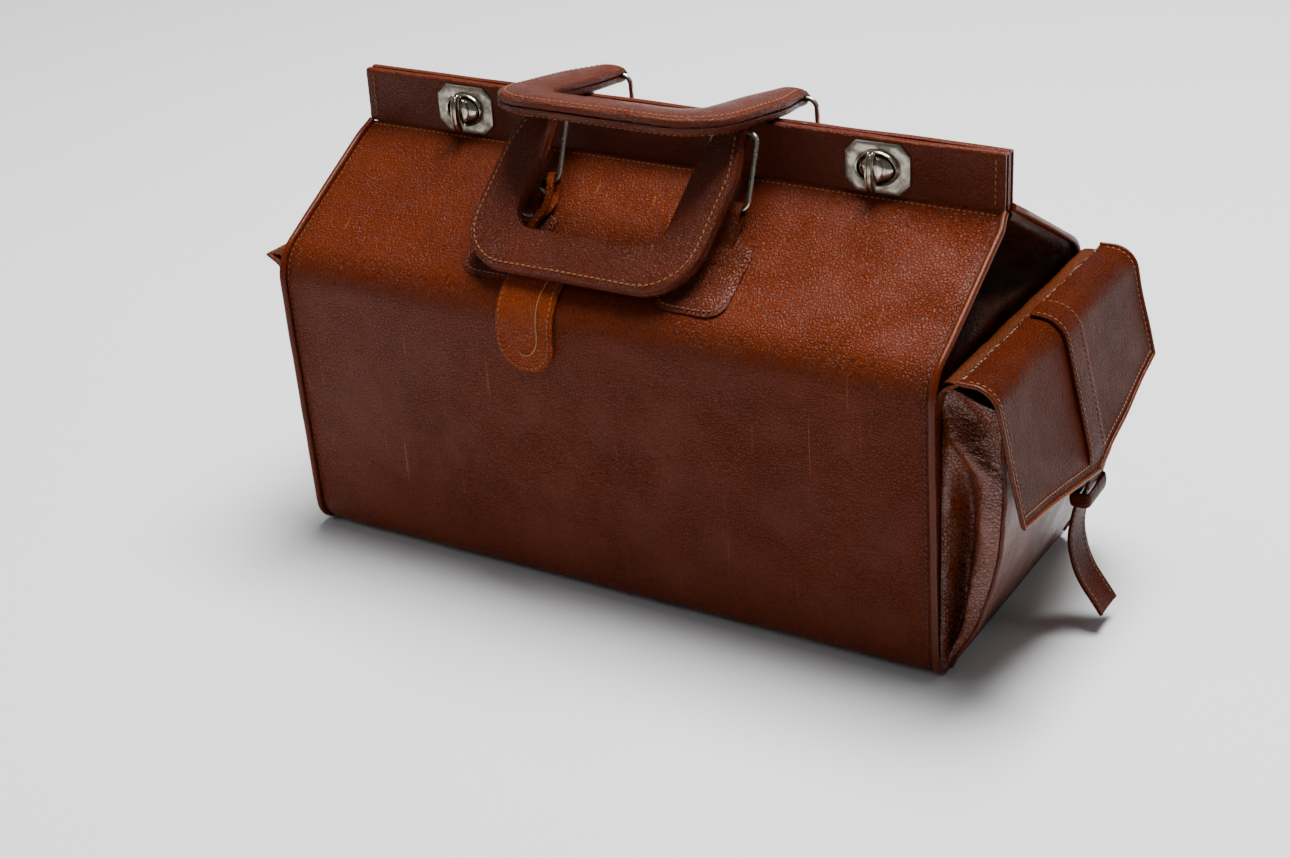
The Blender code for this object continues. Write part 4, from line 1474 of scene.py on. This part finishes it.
        def on_coil(share):
            angle = 4 * math.pi * share
            reach = Vector((radius * math.cos(angle), 0, 0)) + hang * radius * math.sin(angle)
            return centre + reach + slope_normal("front") * 0.0009 * (share - 0.5)

        piece = cord_tube("key_ring", even(96, on_coil), SPLIT_RING_RADIUS, sides=2)
        finish_piece(piece, ring_nickel(), "front_jaw", replaces=("split_ring",))


# ---------------------------------------------------------------- end pocket


POCKET_LINE = (
    (0.2168, 0.0050), (0.2195, 0.0120), (0.2305, 0.0350), (0.2390, 0.0600), (0.2448, 0.0920),
    (0.2466, 0.1280), (0.2466, 0.1700),
)
FOLD_WALL_X, FOLD_WALL_Y = 0.2136, 0.0920
# Each fold of the pocket's sides: how far it pushes out, where it lies across the side and in
# height, how wide and tall it is, and how it leans.
FOLDS = (
    (0.0075, 0.45, 0.1400, 0.55, 0.0090, -0.020),
    (-0.0060, 0.30, 0.1580, 0.50, 0.0070, -0.010),
    (-0.0200, 0.30, 0.0930, 0.20, 0.0330, 0.010),
    (-0.0160, 0.36, 0.0420, 0.22, 0.0300, 0.000),
    (0.0060, 0.78, 0.1050, 0.16, 0.0180, 0.000),
    (0.0040, 0.70, 0.0560, 0.20, 0.0160, 0.015),
    (0.0030, 0.08, 0.0800, 0.09, 0.0500, 0.000),
)


class BAG_OT_pocket(bpy.types.Operator):
    """Make the end pocket's face and its folded sides"""

    bl_idname = "bag.pocket"
    bl_label = "End Pocket"

    def execute(self, context):
        tone = colours()
        leather = pebble_leather(
            "pocket_leather", tone.body[:], tone.body_deep[:], grain=540.0, relief=0.0006, gloss=0.30,
            shine=0.24, wrinkle=((40.0, 120.0, 50.0), 0.45),
        )
        # The pocket's folded sides use a lighter, more orange copy of the body leather with a much darker
        # second tone: painted sheen of the glossy ridges and painted shade of the hollows, spread by noise
        # rather than by the folds' shape.
        crinkled_painted_sheen = pebble_leather(
            "fold_leather_painted_sheen", (0.200, 0.029, 0.0010), (0.045, 0.007, 0.0008), grain=460.0, relief=0.00055,
            gloss=0.19, shine=0.60, wrinkle=((70.0, 70.0, 150.0), 0.9),
        )
        line = Route(POCKET_LINE, (0.03, 0.05, 0.08, 0.08, 0.10), fineness=6)
        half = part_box("pocket_face")[1].y

        def face(u, v):
            p = line.at(v * line.length)[0]
            t = 2 * u - 1
            y = (half - 0.0008 + self.edge_shift(v, t)) * t
            bow = 0.0035 * (1 - t * t) * math.sin(math.pi * min(v * 1.1, 1.0))
            crumple = 0.0011 * ripple(y, p.y, 0, 0.026, 4.0) + 0.0006 * ripple(y, p.y, 0, 0.011, 6.0)
            crumple *= 0.35 + 0.65 * abs(t) ** 2
            swell = 0.0022 * math.sin(math.pi * min(v * 1.15, 1.0)) * ease((abs(t) - 0.55) / 0.45)
            return Vector((p.x + bow * 0.4 + crumple + swell, y, p.y))

        piece = leather_sheet("pocket_face_leather", (90, 80), face, (1, 0, 0), 0.0016)
        finish_piece(piece, leather, "body", replaces=("pocket_face",))

        for side, sign in SIDES.items():

            def fold(u, v, sign=sign):
                p = line.at(v * line.length * 0.985)[0]
                edge_y = half - 0.0010 + self.edge_shift(v, sign)
                crumple = 0.0011 * ripple(edge_y * sign, p.y, 0, 0.026, 4.0)
                face_x = p.x + crumple - 0.0008 + 0.0022 * math.sin(math.pi * min(v * 1.13, 1.0))
                wall_x = FOLD_WALL_X + 0.0032 * ease((p.y - 0.150) / 0.03)
                x = wall_x + (face_x - wall_x) * u
                depth = max(0.0, face_x - wall_x)
                free = math.sin(math.pi * u) ** 0.7 * ease(depth / 0.012)
                crush = 0.0
                for push, at_u, at_z, wide, tall, lean in FOLDS:
                    rise = p.y - at_z - lean * (u - at_u)
                    crush += push * math.exp(-(((u - at_u) / wide) ** 2) - (rise / tall) ** 2)
                crease = 0.0026 * (0.35 - abs(ripple(u * 0.020, p.y * 0.6, sign, 0.011, 1.5)))
                crease += 0.0014 * (0.3 - abs(ripple(u * 0.022, p.y, sign, 0.005, 7.5)))
                y = FOLD_WALL_Y + (edge_y + 0.0014 - FOLD_WALL_Y) * u + (crush + crease) * free
                return Vector((x, sign * y, p.y + 0.003 * free * (1 - v) + 0.011 * (1 - u) * v**3))

            piece = leather_sheet(f"pocket_{side}_fold", (40, 90), fold, (0, sign, 0), 0.0011)
            finish_piece(piece, crinkled_painted_sheen, "body", replaces=(f"pocket_{side}_gusset",))

            off = Vector((0.0004, sign * 0.0009, 0))
            points = even(70, lambda v: face((1 + sign * 0.992) / 2, v) + off)
            bead = cord_tube(f"pocket_{side}_edge", points, 0.00135, sides=3)
            finish_piece(bead, leather, "body")
        return {"FINISHED"}

    def edge_shift(self, v, t):
        """How the pocket's side edges wander in and out."""
        return 0.0022 * ripple(v * 0.16, t, 0, 0.05, 3.0) * ease(v / 0.15) - 0.003 * (1 - ease(v / 0.25))


# How low the flap's edge comes at its corners and in its middle.
FLAP_LOW = {"front": 0.112, "middle": 0.098, "back": 0.124}
STRAP_HALF = 0.0119


class BAG_OT_flap(bpy.types.Operator):
    """Make the pocket's flap with its strap and keeper"""

    bl_idname = "bag.flap"
    bl_label = "Pocket Flap"

    def line(self):
        return Route(
            ((0.2262, 0.1872), (0.2464, 0.1872), (0.2670, 0.0980)), (0.015,), fineness=14
        )

    def height_at(self, y, half):
        corner = "front" if y < 0 else "back"
        share = abs(y) / half
        return FLAP_LOW["middle"] + (FLAP_LOW[corner] - FLAP_LOW["middle"]) * share

    def execute(self, context):
        tone = colours()
        # The flap, its strap and its keeper use the body leather painted 0.6 times as dark, though they
        # are the same leather: painted shade.
        leather = pebble_leather(
            "flap_leather_painted_shade", times(0.60, tone.body), times(0.5, tone.body_deep), relief=0.0006, gloss=0.34,
            shine=0.04, wrinkle=((40.0, 160.0, 40.0), 0.25),
        )
        bright = pebble_leather(
            "turned_edge", (0.130, 0.0225, 0.0010), (0.070, 0.0110, 0.0008), relief=0.00025, gloss=0.26
        )
        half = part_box("pocket_flap")[1].y
        line = self.line()
        self.half = half

        def surface(u, v, lift=0.0):
            y = half * (2 * u - 1)
            p, n = line.at(v * self.length_to(line, self.height_at(y, half)))
            slack = 0.0009 * ripple(y, v * 0.1, 0, 0.034, 2.5) * ease(v / 0.2)
            slack += 0.0016 * ease((v - 0.5) / 0.5) * ripple(y, 0, 0, 0.05, 7.5)
            return Vector((p.x + n.x * (slack + lift), y, p.y + n.y * (slack + lift)))

        self.surface = surface
        piece = leather_sheet("flap_leather_painted_shade", (80, 60), surface, (1, 0, 0.4), 0.0020, rounding=0.0006)
        finish_piece(piece, leather, "flap", replaces=("pocket_flap",))

        welts = {
            "front": even(50, lambda share: surface(0.0, share)),
            "back": even(50, lambda share: surface(1.0, share)),
            "low": even(80, lambda share: surface(share, 1.0)),
        }
        for name, points in welts.items():
            welt = cord_tube(f"flap_{name}_turned_edge", points, 0.0012, sides=3)
            finish_piece(welt, bright, "flap")

        rows = [even(60, lambda share: self.mark(u, 0.05 + 0.92 * share)) for u in (0.019, 0.981)]
        rows.append(even(80, lambda share: self.mark(0.02 + 0.96 * share, 0.945)))
        sew("flap_stitches", rows, seam_thread(), "leather", "flap")
        self.fuzzy_edge()
        self.strap(leather)
        self.keeper(leather)
        return {"FINISHED"}

    def mark(self, u, v):
        """A point just on the flap's face, and its outward normal."""
        p = self.surface(u, v, lift=0.0001)
        a = self.surface(min(u + 0.01, 1), v) - self.surface(max(u - 0.01, 0), v)
        b = self.surface(u, min(v + 0.01, 1)) - self.surface(u, max(v - 0.01, 0))
        normal = a.cross(b).normalized()
        if normal.x + normal.z < 0:
            normal.negate()
        return p, normal

    def length_to(self, line, z):
        """How far along the line the flap comes down to this height."""
        p = line.points[-2]
        end = line.points[-1]
        straight = (p.y - z) / (p.y - end.y)
        return line.marks[-2] + straight * (line.marks[-1] - line.marks[-2])

    def fuzzy_edge(self):
        """The flap's cut back edge, a pale strip of loose fibre."""
        fibre = raw_edge("pale_fibre", (0.19, 0.145, 0.10))

        def surface(u, v):
            y = (self.half - 0.002) * (2 * u - 1)
            ragged = 0.0006 * ripple(y, 0, 0, 0.0022, 1.0) + 0.0005 * ripple(y, 0, 0, 0.007, 2.0)
            x = 0.2256 + 0.0032 * v + ragged * (1 - v)
            z = 0.1858 + 0.0014 * math.sin(math.pi * v) ** 0.7 + 0.0003 * ripple(y, v, 0, 0.002, 5.0)
            return Vector((x, y, z))

        piece = leather_sheet("flap_cut_edge", (400, 6), surface, (0, 0, 1), 0.0012)
        finish_piece(piece, fibre, "flap")

    def strap(self, leather):
        """The band over the flap, which goes on down through the keeper to a loose tail."""
        route = Route(
            (
                (0.2290, 0.1874), (0.2464, 0.1874), (0.2640, 0.1118), (0.2640, 0.0925), (0.2568, 0.0775),
                (0.2535, 0.0560), (0.2580, 0.0330), (0.2740, 0.0104),
            ),
            (0.015, 0.02, 0.02, 0.03, 0.05, 0.05),
        )

        def surface(u, v, lift=0.0):
            p, n = route.at(v * route.length)
            t = 2 * u - 1
            rise = 0.0019 + 0.0004 * (1 - t * t) + lift
            rise += 0.0012 * t * t * ease((0.06 - p.y) / 0.05)
            sway = 0.0016 * ease((0.085 - p.y) / 0.07)
            return Vector((p.x + n.x * rise, STRAP_HALF * t + sway, p.y + n.y * rise))

        def on_strap(u, share):
            v = 0.01 + 0.97 * share
            n = route.at(v * route.length)[1]
            return surface(u, v, 0.0001), Vector((n.x, 0, n.y))

        # The strap takes the flap's darkened leather, with its painted shade.
        piece = leather_sheet("pocket_strap", (16, 150), surface, (1, 0, 0), 0.0019, rounding=0.0004)
        finish_piece(piece, leather, "flap", replaces=("flap_strap",))
        rows = [even(120, lambda share: on_strap(u, share)) for u in (0.13, 0.87)]
        sew("strap_stitches", rows, seam_thread(), "leather", "flap", length=0.0024, radius=0.00028)

    def keeper(self, leather):
        centre, size = box_middle("strap_keeper")
        half_x, half_y = size.x / 2, size.y / 2
        corners = (
            (half_x, 0), (half_x, half_y), (-half_x, half_y), (-half_x, -half_y), (half_x, -half_y),
            (half_x, 0),
        )
        loop = Route(corners, (0.0035, 0.0035, 0.0035, 0.0035), fineness=6)

        def surface(u, v):
            p, n = loop.at(u * loop.length)
            bow = math.copysign(0.0007 * math.sin(math.pi * v), p.dot(n))
            z = centre.z + size.z * (v - 0.5) + 0.0006 * math.sin(p.y / half_y * 1.3)
            return Vector((centre.x + p.x + n.x * bow, p.y + n.y * bow, z))

        away = surface(0.5, 0.5) - centre
        # The keeper takes the flap's darkened leather, with its painted shade.
        piece = leather_sheet("keeper_loop", (64, 8), surface, away, 0.0013, rounding=0.0004)
        finish_piece(piece, leather, "flap", replaces=("strap_keeper",))


# ---------------------------------------------------------------- inside and stage


class BAG_OT_inside(bpy.types.Operator):
    """Finish the pieces inside the bag, whose shapes are the frame's own"""

    bl_idname = "bag.inside"
    bl_label = "Inside Pieces"

    def execute(self, context):
        lining = woven_lining("cotton_lining", (0.30, 0.22, 0.14))
        board = raw_edge("base_board", (0.34, 0.26, 0.17))
        steel = aged_metal("stay_steel", (0.45, 0.44, 0.42), (0.20, 0.16, 0.12), rough=0.4)
        kept = {
            "body_lining": lining,
            "front_slope_lining": lining,
            "back_slope_lining": lining,
            "base_board": board,
            "front_lip_stay": steel,
            "back_lip_stay": steel,
        }
        for name, material in kept.items():
            for each in frame["nodes"][name].material_slots:
                each.material = material
        return {"FINISHED"}


# The floor sheet: half its size, how far back its middle lies, where it starts to curve up, and
# the gap that keeps it clear of the bag's base.
FLOOR_HALF, FLOOR_BACK, FLOOR_BEND, FLOOR_GAP = 4.0, 1.6, 2.2, 0.0004

# Name, place, size, power and target of each light.
LIGHTS = (
    ("overhead", (0.22, 0.62, 2.85), 1.55, 232.0, (0, 0, 0.1)),
    ("front_left", (-1.5, -1.5, 1.5), 1.0, 6.0, (0, 0, 0.15)),
    ("right_fill", (1.6, 0.6, 1.2), 0.7, 1.5, (0.1, 0, 0.12)),
)

CAMERA_PLACE = (0.62142, -1.02601, 0.66466)
CAMERA_LENS = 60.7
CAMERA_YAW, CAMERA_TILT, CAMERA_ROLL = 32.28, -26.42, -3.44


class BAG_OT_stage(bpy.types.Operator):
    """Set the floor, the light and the camera"""

    bl_idname = "bag.stage"
    bl_label = "Stage"

    def execute(self, context):
        clear_selection()
        bpy.ops.mesh.primitive_grid_add(x_subdivisions=40, y_subdivisions=60, size=2)
        floor = bpy.context.active_object
        floor.name = "floor"
        for vertex in floor.data.vertices:
            x, y = vertex.co.x * FLOOR_HALF, vertex.co.y * FLOOR_HALF + FLOOR_BACK
            bend = max(0.0, y - FLOOR_BEND)
            vertex.co = Vector((x, y, 0.16 * bend * bend - FLOOR_GAP))
        settle(floor)
        smooth(floor, 60)
        material, tree, shader, place = new_material("floor_paper")
        colour = mix_colour(tree, cloud(tree, place, 3.0), (0.80, 0.805, 0.81), (0.83, 0.832, 0.835))
        tree.links.new(colour, shader.inputs["Base Color"])
        shader.inputs["Roughness"].default_value = 0.55
        floor.data.materials.append(material)
        self.lights()
        self.camera()
        return {"FINISHED"}

    def lights(self):
        world = bpy.data.worlds.new("studio")
        bpy.context.scene.world = world
        world.use_nodes = True
        background = world.node_tree.nodes["Background"]
        background.inputs["Color"].default_value = (0.94, 0.97, 1.0, 1.0)
        background.inputs["Strength"].default_value = 0.14
        for name, place, size, power, target in LIGHTS:
            data = bpy.data.lights.new(name, "AREA")
            data.energy = power
            data.size = size
            light = bpy.data.objects.new(name, data)
            light.location = place
            light.rotation_euler = (Vector(target) - Vector(place)).to_track_quat("-Z", "Y").to_euler()
            bpy.context.scene.collection.objects.link(light)

    def camera(self):
        data = bpy.data.cameras.new("camera")
        data.lens = CAMERA_LENS
        data.sensor_width = 36.0
        data.clip_start = 0.01
        camera = bpy.data.objects.new("camera", data)
        yaw, tilt, roll = (math.radians(angle) for angle in (CAMERA_YAW, CAMERA_TILT, CAMERA_ROLL))
        camera.location = CAMERA_PLACE
        aim = Matrix.Rotation(yaw, 4, "Z") @ Matrix.Rotation(math.pi / 2 + tilt, 4, "X")
        turned = aim @ Matrix.Rotation(roll, 4, "Z")
        camera.rotation_euler = turned.to_euler()
        bpy.context.scene.collection.objects.link(camera)
        bpy.context.scene.camera = camera


OPERATORS = (
    BAG_OT_body,
    BAG_OT_ends,
    BAG_OT_beads,
    BAG_OT_lips,
    BAG_OT_locks,
    BAG_OT_rings,
    BAG_OT_handles,
    BAG_OT_chapes,
    BAG_OT_tag,
    BAG_OT_pocket,
    BAG_OT_flap,
    BAG_OT_inside,
    BAG_OT_stage,
)


class BAG_PT_panel(bpy.types.Panel):
    """Lists the bag's sizes, colours and making steps"""

    bl_label = "Doctor Bag"
    bl_idname = "BAG_PT_panel"
    bl_space_type = "VIEW_3D"
    bl_region_type = "UI"
    bl_category = "Bag"

    def draw(self, context):
        layout = self.layout
        for group in (context.scene.bag_shape, context.scene.bag_colours):
            for name in group.__annotations__:
                layout.prop(group, name)
        for operator in OPERATORS:
            layout.operator(operator.bl_idname)


CLASSES = (BagShape, BagColours, *OPERATORS, BAG_PT_panel)


def register():
    for cls in CLASSES:
        bpy.utils.register_class(cls)
    bpy.types.Scene.bag_shape = PointerProperty(type=BagShape)
    bpy.types.Scene.bag_colours = PointerProperty(type=BagColours)


def unregister():
    del bpy.types.Scene.bag_shape
    del bpy.types.Scene.bag_colours
    for cls in reversed(CLASSES):
        bpy.utils.unregister_class(cls)


def main():
    register()
    for operator in OPERATORS:
        name = operator.bl_idname.split(".")[1]
        getattr(bpy.ops.bag, name)()


if __name__ == "__main__":
    main()
